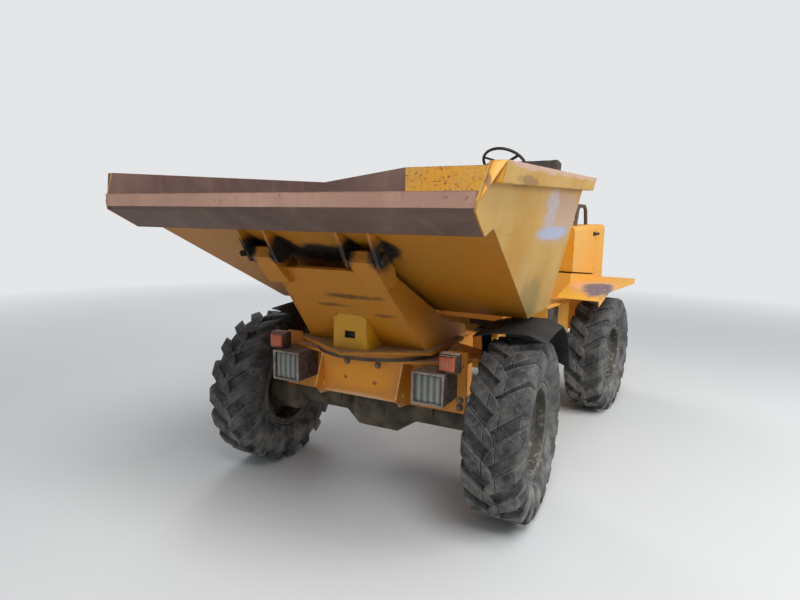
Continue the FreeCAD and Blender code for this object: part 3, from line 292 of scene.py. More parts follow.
# %% The enamel recipe
def worn_enamel(name, fresh, faded, rust="#6A3A1C", dust="#8C7C60", fade=0.5, rusting=0.5, dirt=0.5,
                shine=0.5, marks=(), bloom="#A0582A"):
    """Alkyd enamel after years outdoors. fade, rusting and dirt run from 0 to about 1.5; a mark is a stain's
    centre, half sizes, colour and cover; bloom is the second tone in the rust."""
    material, tree, shader = new_material(name)
    # The sun fades the paint in clouds, and rain draws dust down it in streaks.
    clouds = patches(tree, 2.2, 6, 0.62 - 0.35 * fade, 0.85 - 0.35 * fade)
    colour = layer(tree, linear(fresh), clouds, linear(faded))
    streaks = patches(tree, 14, 5, 0.52, 0.72, (1, 1, 0.08))
    colour = layer(tree, colour, streaks, linear(dust), 0.35 * dirt)
    # Dust lies everywhere a little, and most of it below the wheels' tops.
    splashed = add_node(tree, "Math", {0: low_down(tree, 1.0, 0.35), 1: 0.6}, TIMES)
    held = add_node(tree, "Math", {0: splashed, 1: 0.18}, PLUS)
    grime = add_node(tree, "Math", {0: patches(tree, 9, 8, 0.35, 0.7), 1: held}, TIMES)
    colour = layer(tree, colour, grime, linear(dust), dirt)
    # Scratches are long and thin, and they come in groups.
    lines = patches(tree, 30, 2, 0.70, 0.74, (0.10, 0.10, 2.2), 0.4)
    scored = add_node(tree, "Math", {0: lines, 1: patches(tree, 2.6, 3, 0.45, 0.60)}, TIMES)
    colour = layer(tree, colour, scored, linear(rust), 0.6 * rusting)
    # Rust breaks out in spots, thickest in some areas, and along edges that have lost their paint.
    spots = patches(tree, 34, 8, 0.74 - 0.12 * rusting, 0.80 - 0.12 * rusting, rough=0.7)
    areas = patches(tree, 3.1, 5, 0.66 - 0.1 * rusting, 0.74 - 0.1 * rusting, rough=0.6)
    areas = add_node(tree, "Math", {0: areas, 1: 0.25 * rusting}, PLUS)
    spots = add_node(tree, "Math", {0: spots, 1: areas}, TIMES)
    chips = patches(tree, 22, 6, 0.48 - 0.2 * rusting, 0.62)
    chips = add_node(tree, "Math", {0: edge_mask(tree, 0.010), 1: chips}, TIMES)
    bare = add_node(tree, "Math", {0: spots, 1: chips}, MOST)
    rust_tone = layer(tree, linear(rust), noise(tree, 60, 5), linear(bloom))
    colour = layer(tree, colour, bare, rust_tone)
    for centre, reach, tone, cover in marks:
        colour = layer(tree, colour, stain(tree, front(*centre), reach), linear(tone), cover)
    # Bare and dusty places are dull, brush marks stand up a little, and bare steel lies below the paint.
    dull = add_node(tree, "Math", {0: bare, 1: grime}, PLUS)
    dull = add_node(tree, "Math", {0: dull, 1: 0.35}, TIMES)
    gloss = add_node(tree, "Math", {0: 1.0 - shine, 1: dull}, PLUS)
    grain = add_node(tree, "Math", {0: noise(tree, 90, 4), 1: 0.35}, TIMES)
    relief = add_node(tree, "Math", {0: grain, 1: bare}, LESS)
    bump = add_node(tree, "Bump", {"Strength": 0.25, "Distance": 0.0012, "Height": relief})
    plug(tree, shader, {"Base Color": colour, "Roughness": gloss, "Normal": bump})
    return material


print("the enamel recipe is ready")

# %% [markdown]
# ## Marks of its working life
#
# Some marks are in one place only: the bleached patch and the bright worn edge on the skip's side, rust at
# the dented wing, spilt grease round the tipping pins and a boot-worn patch on the mudguard. One more is
# painted shade: a dark band between the tipping pins, under the skip's floor. A painted mask could carry
# them, but a ragged oval needs only a centre from the front axle, half sizes, a colour and a cover, and it
# stays sharp in a close view.

# %% Where the marks are
BARE_SIDE = [((0.93, 0.34, 1.62), (0.20, 0.44, 0.16), "#B79A8C", 0.75),
             ((0.95, 0.04, 1.70), (0.20, 0.15, 0.06), "#B4B2BE", 0.6),
             ((0.92, 0.05, 1.60), (0.20, 0.14, 0.06), "#B4B0BC", 0.45),
             ((0.91, 0.22, 1.535), (0.20, 0.36, 0.04), "#A3AFCC", 0.85),
             ((0.84, -0.02, 1.18), (0.20, 0.26, 0.13), "#8A7A3C", 0.7),
             ((0.97, -0.70, 1.745), (0.20, 0.16, 0.02), "#6A5038", 0.6)]
BARE_SIDE += [((0.95, y, 1.833 + 0.0443 * y), (0.20, 0.24, 0.018), "#C9A696", 0.9)
              for y in (-0.80, -0.45, -0.10, 0.25, 0.60)]
WING_MARKS = [((0.948, -1.05, 1.765), (0.012, 0.06, 0.04), "#5A3420", 0.95),
              ((0.962, -1.04, 1.72), (0.010, 0.06, 0.03), "#6A4A30", 0.8)]
PANEL_MARKS = [((0.0, -0.28, 0.72), (0.22, 0.05, 0.08), "#F29C1A", 0.8),
               ((0.0, -0.28, 0.585), (0.34, 0.05, 0.035), "#DDB48C", 0.8),
               ((-0.10, -0.27, 0.70), (0.012, 0.05, 0.01), "#A8401A", 0.9),
               ((0.09, -0.27, 0.69), (0.016, 0.05, 0.012), "#A8401A", 0.9)]
PIVOT_GREASE = [((side * x, -0.70, 1.435), (0.055, 0.15, 0.085), "#120E0C", 1.0) for side in SIDES
                for x in (0.19, 0.37)]
# the long dark oval between the pivots, under the skip's floor, is painted shade; the pin stains beside it
# are grease
YOKE_MARKS_AND_SHADE = PIVOT_GREASE + [((0.0, -0.60, 1.42), (0.26, 0.34, 0.05), "#17110D", 1.0),
                             ((0.10, -0.70, 1.20), (0.20, 0.30, 0.018), "#4A2C12", 0.8),
                             ((-0.05, -0.66, 1.14), (0.16, 0.30, 0.014), "#4A2C12", 0.7),
                             ((0.22, -0.62, 1.10), (0.10, 0.30, 0.012), "#4A2C12", 0.7)]
GUARD_MARKS = [((0.92, 1.98, 1.08), (0.20, 0.30, 0.10), "#DBA37E", 0.7),
               ((0.97, 1.86, 1.08), (0.13, 0.24, 0.10), "#75646C", 1.0)]
print("marks on the skip's side", len(BARE_SIDE))

# %% [markdown]
# ## The painted finishes
#
# Most of the steelwork wears the same yellow enamel, but each part has had its own life: the skip's sides are
# bleached, and the mudguards take rust where feet scrape them. The yoke and the skip's underside are given a
# deeper amber, which is painted shade for the shadow under the skip. Inside the skip and on its lip stone has
# scoured the paint off, which leaves dark rust in the bowl and a brighter, rubbed steel along the lip's
# front.

# %% Painted steel
SKIP_ENAMEL = worn_enamel("sun_faded_enamel", "#BC8A2E", "#C49C50", fade=0.7, shine=0.42, marks=BARE_SIDE)
# yoke and skip underside: a darker amber that is painted shade for the shadow under the skip, over real dust
# and rust
SHADE_AND_WEAR = {"dust": "#7A5A28", "fade": 0.4, "rusting": 0.6, "dirt": 0.4, "marks": YOKE_MARKS_AND_SHADE}
BELLY_PAINTED_SHADE = worn_enamel("painted_shade_belly_enamel", "#B4700A", "#A87218", **SHADE_AND_WEAR)
YOKE_PAINTED_SHADE = worn_enamel("painted_shade_yoke_enamel", "#BC7608", "#B07818", **SHADE_AND_WEAR)
POCKET_ENAMEL = worn_enamel("pocket_enamel", "#D79A10", "#D2A028", fade=0.3, rusting=0.45, dirt=0.35)
PANEL_ENAMEL = worn_enamel("front_panel_enamel", "#E28E1C", "#D58E38", fade=0.35, dirt=0.45,
                           marks=PANEL_MARKS)
# cut edge of the front panel: a pale line, a painted highlight where the edge catches the light
PLATE_EDGE_HIGHLIGHT = worn_enamel("painted_highlight_plate_edge", "#F0B452", "#F2C47E", rusting=0.3, dirt=0.2)
WING_ENAMEL = worn_enamel("dented_wing_enamel", "#E39A1E", "#E8B860", fade=0.3, rusting=1.1, dirt=0.3,
                          marks=WING_MARKS)
# deck plate's top: pale peach, partly paint thinned by feet and partly painted light where the top is lit
DECK_SCUFF_AND_LIGHT = worn_enamel("scuffed_and_painted_light_deck_enamel", "#F4C292", "#E8BC98", rusting=0.4, dirt=0.3, shine=0.4)
REAR_ENAMEL = worn_enamel("rear_body_enamel", "#E3A23C", "#DDA850", fade=0.4, rusting=0.3, dirt=0.3)
# bonnet's front face: a deeper orange than its sides, painted shade for the skip's shadow
BONNET_FRONT_PAINTED_SHADE = worn_enamel("bonnet_front_painted_shade_enamel", "#E0920C", "#D9962A", fade=0.3, rusting=0.3, dirt=0.3)
GUARD_ENAMEL = worn_enamel("mudguard_enamel", "#E4A636", "#DDB060", rust="#6B5A58", fade=0.4, rusting=0.6,
                           dirt=0.4, marks=GUARD_MARKS)
DARK_ENAMEL = worn_enamel("dark_chassis_enamel", "#2E2C2A", "#4A4640", fade=0.4, dirt=0.9, shine=0.35)
RIM_ENAMEL = worn_enamel("rim_enamel", "#34322F", "#5A564E", rust="#A8A398", dust="#6C655A", rusting=1.6,
                         dirt=0.55, shine=0.4, bloom="#7C7870")
BACK_ENAMEL = worn_enamel("chipped_back_enamel", "#D29424", "#C49A4C", rust="#5C3A28", rusting=1.7,
                          shine=0.35)
BOWL_RUST = worn_enamel("scoured_bowl_rust", "#4C3430", "#62473E", rust="#2E1E1A", dust="#8A7462",
                        rusting=0.9, dirt=0.55, shine=0.25)
LIP_STEEL = worn_enamel("scoured_lip_steel", "#5A4238", "#6E564A", rust="#3A2820", dust="#8A766A",
                        rusting=0.6, dirt=0.8, shine=0.4)
LIP_FRONT = worn_enamel("bright_lip_front", "#BE9480", "#A67E6C", rust="#5E4036", dust="#D0B2A0", fade=0.6,
                        rusting=1.3, dirt=0.6, shine=0.45)
EDGE_STEEL = worn_enamel("worn_top_edge", "#A88A80", "#B79C88", rust="#6A3A2C", rusting=0.9, dirt=0.4)
TABLE_DUST = worn_enamel("dusty_table_top", "#A08A5C", "#AC9A74", dust="#B0A284", rusting=0.3, dirt=0.9,
                         shine=0.25)
BOLT_STEEL = worn_enamel("rusty_zinc_bolt", "#6A6258", "#8A8070", rust="#5A3018", rusting=0.8, dirt=0.8)
print("enamels", len([m for m in bpy.data.materials if m.name.endswith("enamel")]))

# %% [markdown]
# ## Plastic, chrome, vinyl, rubber and glass
#
# Lamp bodies are moulded ABS that has gone grey-brown and matt in the sun, so their roughness is high and
# their two tones are close. The rods are ground and hard chromed: metallic, smooth and nearly without relief.
# Seat vinyl is embossed and cracked, which a stronger bump gives. Tyre rubber is black only where it flexes;
# dust greys its hollows and wear pales its edges. A lamp's glass is moulded with upright ribs, and a wave
# along X gives them both their tones and their relief.

# %% Other finishes
def plain_finish(name, base, second, scale, rough, metallic=0.0, bump=0.2, low=0.4, high=0.65):
    """A moulded, cast or ground surface: two tones in a noise, a roughness and a little relief."""
    material, tree, shader = new_material(name)
    pattern = noise(tree, scale, 6)
    tones = add_node(tree, "MapRange", {"Value": pattern, "From Min": low, "From Max": high})
    colour = layer(tree, linear(base), tones, linear(second))
    uneven = add_node(tree, "Math", {0: pattern, 1: 0.16}, TIMES)
    gloss = add_node(tree, "Math", {0: rough - 0.08, 1: uneven}, PLUS)
    fine = noise(tree, scale * 9, 3)
    relief = add_node(tree, "Bump", {"Strength": bump, "Distance": 0.001, "Height": fine})
    plug(tree, shader, {"Base Color": colour, "Roughness": gloss, "Normal": relief, "Metallic": metallic})
    return material


# ABS box of the headlamps: brown, and matt from sun and dust
LAMP_PLASTIC = plain_finish("brown_moulded_lamp_body", "#4A3C3A", "#6E605A", 30, 0.7)
# the same ABS on its top and front faces: paler there as painted light, and greyed by a film of dust
LAMP_BEZEL_DUST_AND_LIGHT = plain_finish("dusty_and_painted_light_lamp_bezel", "#7E736A", "#A2988A", 22, 0.75)
# polypropylene lips of the indicators, chalky and nearly beige
LIP_PLASTIC = plain_finish("pale_indicator_lip", "#B9A08E", "#CDB7A4", 40, 0.6)
# their sides, which still show the dark moulding
LAMP_BODY = plain_finish("dark_indicator_body", "#3A302C", "#55483F", 35, 0.6)
# acrylic of the rear lamps: deep red and nearly smooth
RED_LENS = plain_finish("red_acrylic", "#8C1E16", "#A82A1E", 45, 0.25, bump=0.1)
# polyurethane and ABS that hands keep clean: black with a soft gleam
BLACK_PLASTIC = plain_finish("black_moulded_plastic", "#141414", "#262626", 30, 0.5)
# black painted mudguards under large thin clouds of dust
GUARD_BLACK = plain_finish("dusty_black_guard", "#171616", "#35322E", 7, 0.7, low=0.45, high=0.8)
# hard chrome: bright, and it mirrors what is near it
GROUND_STEEL = plain_finish("hard_chromed_rod", "#A9A9A6", "#8C8A84", 24, 0.28, metallic=1.0, bump=0.05)
# seat vinyl: brown-black, with cracks that catch the light
VINYL = plain_finish("cracked_seat_vinyl", "#2E2622", "#4A3A30", 12, 0.55, bump=0.4)
# steel pins under old grease: dark, half metallic, with wet spots
GREASY_STEEL = plain_finish("greasy_pin_steel", "#2A2420", "#54483C", 26, 0.42, metallic=0.4, bump=0.3)


def rubber(name):
    """Tyre rubber: black where it flexes, grey dust in the hollows and low down, pale worn edges."""
    material, tree, shader = new_material(name)
    low = add_node(tree, "Math", {0: low_down(tree, 0.55, 0.0), 1: 0.42}, PLUS)
    dusty = add_node(tree, "Math", {0: patches(tree, 11, 8, 0.38, 0.75), 1: low}, TIMES)
    colour = layer(tree, linear("#29292B"), dusty, linear("#8A8781"))
    scuffed = patches(tree, 48, 8, 0.50, 0.68, rough=0.75)
    colour = layer(tree, colour, scuffed, linear("#8F8E8A"), 0.32)
    worn = add_node(tree, "Math", {0: edge_mask(tree, 0.006), 1: patches(tree, 30, 5, 0.3, 0.6)}, TIMES)
    colour = layer(tree, colour, worn, linear("#A5A39C"), 0.55)
    bump = add_node(tree, "Bump", {"Strength": 0.45, "Distance": 0.0015, "Height": noise(tree, 130, 4)})
    plug(tree, shader, {"Base Color": colour, "Roughness": 0.8, "Normal": bump})
    return material


def ribbed_glass(name, base, second, ribs, rough):
    """A moulded lens whose ribs stand upright, as lamps of plant have them to spread the beam."""
    material, tree, shader = new_material(name)
    place = add_node(tree, "TexCoord", out="Object")
    wave = add_node(tree, "TexWave", {"Vector": place, "Scale": ribs}, {"bands_direction": "X"}, 1)
    colour = layer(tree, linear(base), wave, linear(second))
    colour = layer(tree, colour, noise(tree, 30, 5), linear("#8E877A"), 0.5)
    bump = add_node(tree, "Bump", {"Strength": 0.6, "Distance": 0.004, "Height": wave})
    plug(tree, shader, {"Base Color": colour, "Roughness": rough, "Normal": bump})
    return material


RUBBER = rubber("dusty_tyre_rubber")
LENS_GLASS = ribbed_glass("headlamp_glass", "#3E4442", "#8C948E", 9, 0.16)
STOP_LENS = ribbed_glass("stop_lamp_lens", "#7C1812", "#B02A20", 22, 0.22)
AMBER_LENS = ribbed_glass("indicator_lens", "#B8461A", "#E06A2C", 22, 0.22)
print("materials", len(bpy.data.materials))

# %% [markdown]
# ## Dressing the frame
#
# Each node of the frame is one part as it left the paint shop or the moulder, so each gets one finish to
# start with. A table says which, and every name in it is a node of the frame.

# %% Which node wears which finish
WHEELS = ("front_left", "front_right", "rear_left", "rear_right")
FINISHES = {
    SKIP_ENAMEL: ["skip_bowl", "skip_edges"],
    LIP_STEEL: ["skip_lip"],
    YOKE_PAINTED_SHADE: ["skip_brackets", "yoke", "turntable"],
    POCKET_ENAMEL: ["ram_pocket"],
    PANEL_ENAMEL: ["front_frame", "front_panel"],
    REAR_ENAMEL: ["rear_deck", "bonnet", "radiator_cowl", "counterweight", "console", "rear_frame"],
    GUARD_ENAMEL: ["rear_mudguards"],
    DARK_ENAMEL: ["front_axle", "rear_axle", "knuckle", "engine", "slew_ring", "tip_ram_barrel",
                  "steer_ram_barrel", "tanks", "hip_rails", "steering_column"],
    GROUND_STEEL: ["tip_ram_rod", "steer_ram_rod", "levers"],
    LAMP_PLASTIC: ["headlamp_housings"],
    LENS_GLASS: ["headlamp_lenses"],
    LAMP_BODY: ["indicators"],
    RED_LENS: ["rear_lamps"],
    BLACK_PLASTIC: ["steering_wheel", "seat_base"],
    GUARD_BLACK: ["front_mudguards"],
    VINYL: ["seat_cushion", "seat_back"],
    RUBBER: ["tyre_" + wheel for wheel in WHEELS],
    RIM_ENAMEL: ["rim_" + wheel for wheel in WHEELS],
}
for material, names in FINISHES.items():
    for name in names:
        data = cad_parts[name].data
        data.materials.clear()
        data.materials.append(material)
print("dressed nodes", sum(len(names) for names in FINISHES.values()), "of", len(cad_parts))

# %% [markdown]
# ## One plate, several lives
#
# Stone scours the inside of the skip, feet scuff the top of a deck, and a dent bares the steel at the wing.
# Some faces also take painted light and shade: a darker amber under the skip, a deeper orange on the bonnet's
# front, paler lamp faces and deck top, and a pale line on the front panel's cut edge. The folds of the plate
# part these areas already, so no mask is painted: the faces that pass a test by their normal and their place
# from the front axle get a finish of their own.

# %% Faces of one plate that have had a life of their own
SKIP_HEART = Vector((0, -0.1, 1.55))


def assign(name, material, test):
    """Gives the faces of a frame node that pass the test another finish; the test takes normal and centre."""
    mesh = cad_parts[name].data
    mesh.materials.append(material)
    count = 0
    for face in mesh.polygons:
        if test(face.normal, face.center - ORIGIN):
            face.material_index = len(mesh.materials) - 1
            count += 1
    print(name, material.name, count)


def within(normal, centre):
    """True for a face that looks into the skip."""
    return normal.dot(SKIP_HEART - centre) > 0.02


# the skip's downward faces get the darker amber, a painted shade
assign("skip_bowl", BELLY_PAINTED_SHADE, lambda normal, centre: normal.z < -0.5)
assign("skip_bowl", BOWL_RUST, within)
assign("skip_bowl", BACK_ENAMEL, lambda normal, centre: within(normal, centre) and normal.y < -0.93)
assign("skip_edges", EDGE_STEEL, lambda normal, centre: normal.z > 0.75)
assign("skip_edges", WING_ENAMEL, lambda normal, centre: normal.y < -0.85 and centre.x > 0)
assign("skip_edges", BOWL_RUST, lambda normal, centre: normal.y < -0.85 and centre.x < 0)
# the panel edge's forward and upward faces get the painted highlight
assign("front_panel", PLATE_EDGE_HIGHLIGHT, lambda normal, centre: normal.y < -0.9 and normal.z > 0.3)
assign("skip_lip", LIP_FRONT, lambda normal, centre: normal.y < -0.9)
assign("skip_lip", EDGE_STEEL, lambda normal, centre: normal.z > 0.95)
# the bonnet's forward faces get the deeper orange, a painted shade
assign("bonnet", BONNET_FRONT_PAINTED_SHADE, lambda normal, centre: normal.y < -0.7)
assign("turntable", TABLE_DUST, lambda normal, centre: normal.z > 0.9)
# the deck's top faces get the pale peach, partly painted light
assign("front_frame", DECK_SCUFF_AND_LIGHT, lambda normal, centre: normal.z > 0.9 and centre.y < 0.1)
assign("indicators", LIP_PLASTIC, lambda normal, centre: abs(normal.z) > 0.9)
# top and front faces of the lamp boxes get the paler ABS, partly painted light
assign("headlamp_housings", LAMP_BEZEL_DUST_AND_LIGHT, lambda normal, centre: normal.z > 0.7 or normal.y < -0.9)

# %% [markdown]
# ## Softer edges on the steel
#
# Flame-cut plate has edges that catch a thin line of light. A bevel on the frame's own nodes gives that:
# their loose triangles are welded first, then every edge sharper than thirty degrees is rounded a little.
# Turned and bent parts are smoothed round instead, up to their sharp edges. The modifiers only dress the
# mesh, so the plate keeps its real size.

# %% Bevels on the frame's plates
PLATE_BEVEL, WELD_REACH = 0.003, 0.0001
BEVELLED = ["skip_bowl", "skip_edges", "skip_lip", "skip_brackets", "yoke", "ram_pocket", "front_frame",
            "front_panel", "rear_deck", "bonnet", "radiator_cowl", "counterweight", "console", "rear_frame",
            "rear_mudguards", "front_mudguards", "headlamp_housings", "indicators", "rear_lamps", "tanks",
            "seat_base"]
TURNED = ["front_axle", "rear_axle", "knuckle", "slew_ring", "turntable", "tip_ram_barrel", "tip_ram_rod",
          "steer_ram_barrel", "steer_ram_rod", "steering_column", "levers", "hip_rails"]
for name in BEVELLED + TURNED:
    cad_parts[name].modifiers.new("weld", "WELD").merge_threshold = WELD_REACH
for name in BEVELLED:
    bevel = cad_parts[name].modifiers.new("bevel", "BEVEL")
    bevel.width = PLATE_BEVEL
    bevel.segments = 2
    bevel.limit_method = "ANGLE"
    bevel.angle_limit = math.radians(30)
    bevel.harden_normals = True
for name in TURNED:
    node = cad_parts[name]
    node.modifiers.new("split", "EDGE_SPLIT").split_angle = math.radians(32)
    node.data.polygons.foreach_set("use_smooth", [True] * len(node.data.polygons))
print("bevelled", len(BEVELLED), "smoothed round", len(TURNED))

# %% [markdown]
# ## Working by hand: select, shape, finish
#
# Every fitting below starts as a primitive at its size and place. One helper opens edit mode with chosen
# faces or edges selected, and another closes the piece: modifiers applied, place put into the mesh, smooth
# shading up to an angle, a finish, and the body that it moves with. What repeats is made once and copied.

# %% Helpers for modelling
def begin():
    """Object mode with nothing selected, since an operator acts on all that is."""
    if bpy.context.object and bpy.context.object.mode != "OBJECT":
        bpy.ops.object.mode_set(mode="OBJECT")
    bpy.ops.object.select_all(action="DESELECT")


def pick(piece, kind, test):
    """Edit mode on a piece with only the FACE or VERT items selected that pass the test."""
    begin()
    piece.select_set(True)
    bpy.context.view_layer.objects.active = piece
    bpy.ops.object.mode_set(mode="EDIT")
    bpy.ops.mesh.select_mode(type=kind)
    bpy.ops.mesh.select_all(action="DESELECT")
    bpy.ops.object.mode_set(mode="OBJECT")
    for item in piece.data.polygons if kind == "FACE" else piece.data.vertices:
        item.select = bool(test(item))
    bpy.ops.object.mode_set(mode="EDIT")


def towards(direction):
    """A test for faces whose normal points along direction, to within 25 degrees."""
    return lambda face: face.normal.dot(Vector(direction)) > 0.9


def apply_place():
    """Puts the selected pieces' place, turn and size into their meshes."""
    bpy.ops.object.transform_apply(location=True, rotation=True, scale=True)


def rounded(piece, width, segments=2):
    """Rounds a piece's sharp edges by a width when it is finished."""
    rounding = piece.modifiers.new("rounding", "BEVEL")
    rounding.width = width
    rounding.segments = segments
    rounding.limit_method = "ANGLE"


def finish(piece, name, material, body=None, smooth=30):
    """Closes a piece: modifiers and place applied, outward normals, shading, finish and body."""
    begin()
    piece.select_set(True)
    bpy.context.view_layer.objects.active = piece
    for modifier in list(piece.modifiers):
        bpy.ops.object.modifier_apply(modifier=modifier.name)
    apply_place()
    bpy.ops.object.mode_set(mode="EDIT")
    bpy.ops.mesh.select_all(action="SELECT")
    bpy.ops.mesh.remove_doubles(threshold=0.00002)
    bpy.ops.mesh.normals_make_consistent(inside=False)
    bpy.ops.object.mode_set(mode="OBJECT")
    bpy.ops.object.shade_smooth_by_angle(angle=math.radians(smooth))
    piece.name = name
    piece.data.name = name
    piece.data.materials.clear()
    piece.data.materials.append(material)
    if body:
        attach(piece, body)
    return piece


def join(pieces):
    """Joins finished meshes into the first."""
    begin()
    for piece in pieces:
        piece.select_set(True)
    bpy.context.view_layer.objects.active = pieces[0]
    if len(pieces) > 1:
        bpy.ops.object.join()
    return pieces[0]


def stamp(master, matrix):
    """One copy of a finished master at a matrix, with its own mesh."""
    copy = master.copy()
    copy.data = master.data.copy()
    copy.data.transform(matrix)
    bpy.context.scene.collection.objects.link(copy)
    return copy


def copies(master, matrices):
    """One joined piece made of a copy of the master for each matrix; the master goes."""
    made = [stamp(master, matrix) for matrix in matrices]
    bpy.data.objects.remove(master)
    return join(made)


def turned(profile, vertices, solid):
    """A lathe about Z: a ring at the profile's first place along Z and radius, drawn through all the others.
    A solid piece keeps a flat cap at both ends, and a hollow one runs back to its first ring."""
    begin()
    place, radius = profile[0]
    bpy.ops.mesh.primitive_circle_add(vertices=vertices, radius=radius, location=(0, 0, place),
                                      fill_type="NGON" if solid else "NOTHING")
    piece = bpy.context.object
    apply_place()
    bpy.ops.object.mode_set(mode="EDIT")
    bpy.ops.mesh.select_mode(type="FACE" if solid else "EDGE")
    bpy.ops.mesh.select_all(action="SELECT")
    for next_place, next_radius in profile[1:] + ([] if solid else profile[:1]):
        growth = next_radius / radius
        bpy.ops.mesh.extrude_region_move(TRANSFORM_OT_translate={"value": (0, 0, next_place - place)})
        bpy.ops.transform.resize(value=(growth, growth, 1), center_override=(0, 0, next_place))
        place, radius = next_place, next_radius
    begin()
    return piece


def block(size, place, edge=0.0):
    """A box of a size centred at a place, its edges rounded by edge when it is finished."""
    begin()
    bpy.ops.mesh.primitive_cube_add(size=1, location=place)
    piece = bpy.context.object
    piece.scale = size
    apply_place()
    if edge:
        rounded(piece, edge, 3)
    return piece


def lathed(name, material, vertices, profile):
    """A solid turned piece, finished."""
    return finish(turned(profile, vertices, solid=True), name, material)


def slab(name, material, size, place, edge):
    """A rounded block, finished."""
    return finish(block(size, place, edge), name, material)


def spread(master, spots, name, material, body=None, smooth=30):
    """Copies of a master at all its spots as one finished piece."""
    return finish(copies(master, spots), name, material, body, smooth)


def aim(place, direction, turn=0.0):
    """A matrix that puts +Z along direction at a place."""
    upright = Vector(direction).to_track_quat("Z", "Y").to_matrix().to_4x4()
    return Matrix.Translation(place) @ upright @ Matrix.Rotation(turn, 4, "Z")


print("modelling helpers ready")

# %% [markdown]
# ## Hexagon bolts
#
# A machine like this is held by M12 to M24 bolts with washers. One bolt is modelled: a six-sided cylinder
# whose top face is inset and lifted to make the chamfered crown, over a washer. Rows of copies are joined.

# %% One bolt
def bolt(across, thick):
    """A bolt head with its washer, seated on z = 0."""
    begin()
    bpy.ops.mesh.primitive_cylinder_add(vertices=6, radius=across / math.sqrt(3), depth=thick,
                                        location=(0, 0, thick / 2 + 0.1 * across))
    head = bpy.context.object
    pick(head, "FACE", towards((0, 0, 1)))
    bpy.ops.mesh.inset(thickness=across * 0.09)
    bpy.ops.transform.translate(value=(0, 0, thick * 0.12))
    begin()
    bpy.ops.mesh.primitive_cylinder_add(vertices=20, radius=across * 0.95, depth=0.1 * across,
                                        location=(0, 0, 0.05 * across))
    washer = bpy.context.object
    pick(washer, "FACE", towards((0, 0, 1)))
    bpy.ops.mesh.inset(thickness=across * 0.06)
    bpy.ops.transform.translate(value=(0, 0, across * 0.02))
    begin()
    for part in (head, washer):
        part.select_set(True)
        bpy.context.view_layer.objects.active = part
        apply_place()
    return join([head, washer])


print("the bolt is ready")

# %% [markdown]
# ## Tyres with moulded bars
#
# A traction tyre is a round carcass with slanted bars moulded on it, whose ends run down over the shoulder.
# The carcass is turned from its section. A bar starts as one flat face at its inner end, is drawn out along
# the axle from station to station, and is then twisted round the axle so that it slants by forty degrees. A
# thin cut parts the inner block from the outer one. The two sides are staggered by half a pitch.

# %% Tyre section and bars
TYRE_RADIUS, BAR_COUNT, BAR_SLANT = 0.485, 18, math.radians(40)
BAR_BEVEL, TOP_TAPER, TOP_ABOVE = 0.004, 0.90, 0.44
CARCASS = [(0.103, 0.2320), (0.113, 0.2400), (0.114, 0.2585), (0.125, 0.2640), (0.1285, 0.2730),
           (0.127, 0.2810), (0.138, 0.2960), (0.148, 0.3200), (0.1565, 0.3520), (0.157, 0.3700),
           (0.153, 0.3950), (0.143, 0.4200), (0.129, 0.4400), (0.085, 0.4495), (0.0, 0.4520)]
INNER_BLOCK = [(-0.020, 0.432, 0.4815, 0.018), (0.000, 0.432, 0.4828, 0.042), (0.031, 0.432, 0.4828, 0.045)]
OUTER_BLOCK = [(0.035, 0.432, 0.4828, 0.045), (0.085, 0.432, 0.4822, 0.045), (0.134, 0.424, 0.4790, 0.045),
               (0.149, 0.400, 0.4480, 0.044), (0.1565, 0.385, 0.4080, 0.043)]


def tread_bar(rows):
    """One bar from rows of place along the axle, foot radius, top radius and half width."""
    place, foot, top, half = rows[0]
    begin()
    bpy.ops.mesh.primitive_plane_add(size=1, location=((foot + top) / 2, 0, place))
    bar = bpy.context.object
    bar.scale = (top - foot, 2 * half, 1)
    apply_place()
    bpy.ops.object.mode_set(mode="EDIT")
    bpy.ops.mesh.select_mode(type="FACE")
    bpy.ops.mesh.select_all(action="SELECT")
    for next_place, next_foot, next_top, next_half in rows[1:]:
        middle = (next_foot + next_top) / 2
        step = (middle - (foot + top) / 2, 0, next_place - place)
        bpy.ops.mesh.extrude_region_move(TRANSFORM_OT_translate={"value": step})
        bpy.ops.transform.resize(value=((next_top - next_foot) / (top - foot), next_half / half, 1),
                                 center_override=(middle, 0, next_place))
        place, foot, top, half = next_place, next_foot, next_top, next_half
    pick(bar, "VERT", lambda vertex: vertex.co.x > TOP_ABOVE)
    bpy.ops.transform.resize(value=(1, TOP_TAPER, 1), center_override=(0, 0, 0))
    for row in rows:
        pick(bar, "VERT", lambda vertex: abs(vertex.co.z - row[0]) < 0.00001)
        twist = row[0] * math.tan(BAR_SLANT) / TYRE_RADIUS
        bpy.ops.transform.rotate(value=twist, orient_axis="Z", center_override=(0, 0, 0))
    rounded(bar, BAR_BEVEL)
    return finish(bar, "tread_bar", RUBBER)


PITCH = 2 * math.pi / BAR_COUNT
OTHER_SIDE = Matrix.Diagonal((1, 1, -1, 1))
spots = [Matrix.Rotation(PITCH * number, 4, "Z") for number in range(BAR_COUNT)]
spots += [Matrix.Rotation(PITCH * (number + 0.5), 4, "Z") @ OTHER_SIDE for number in range(BAR_COUNT)]
bars = [copies(tread_bar(rows), spots) for rows in (INNER_BLOCK, OUTER_BLOCK)]
section = CARCASS + [(-place, radius) for place, radius in reversed(CARCASS[:-1])]
tyre = join([finish(turned(section, 96, solid=False), "carcass", RUBBER)] + bars)
print("tyre faces", len(tyre.data.polygons))

# %% [markdown]
# ## Rims
#
# A rim is pressed and rolled from plate: a well with curled flanges, and a dished disc welded into it round
# the hub. All of it is one turned section, from the grease cap outwards over the disc and the flange and back
# along the well. Eight nuts hold it, and five small screws hold the cap.

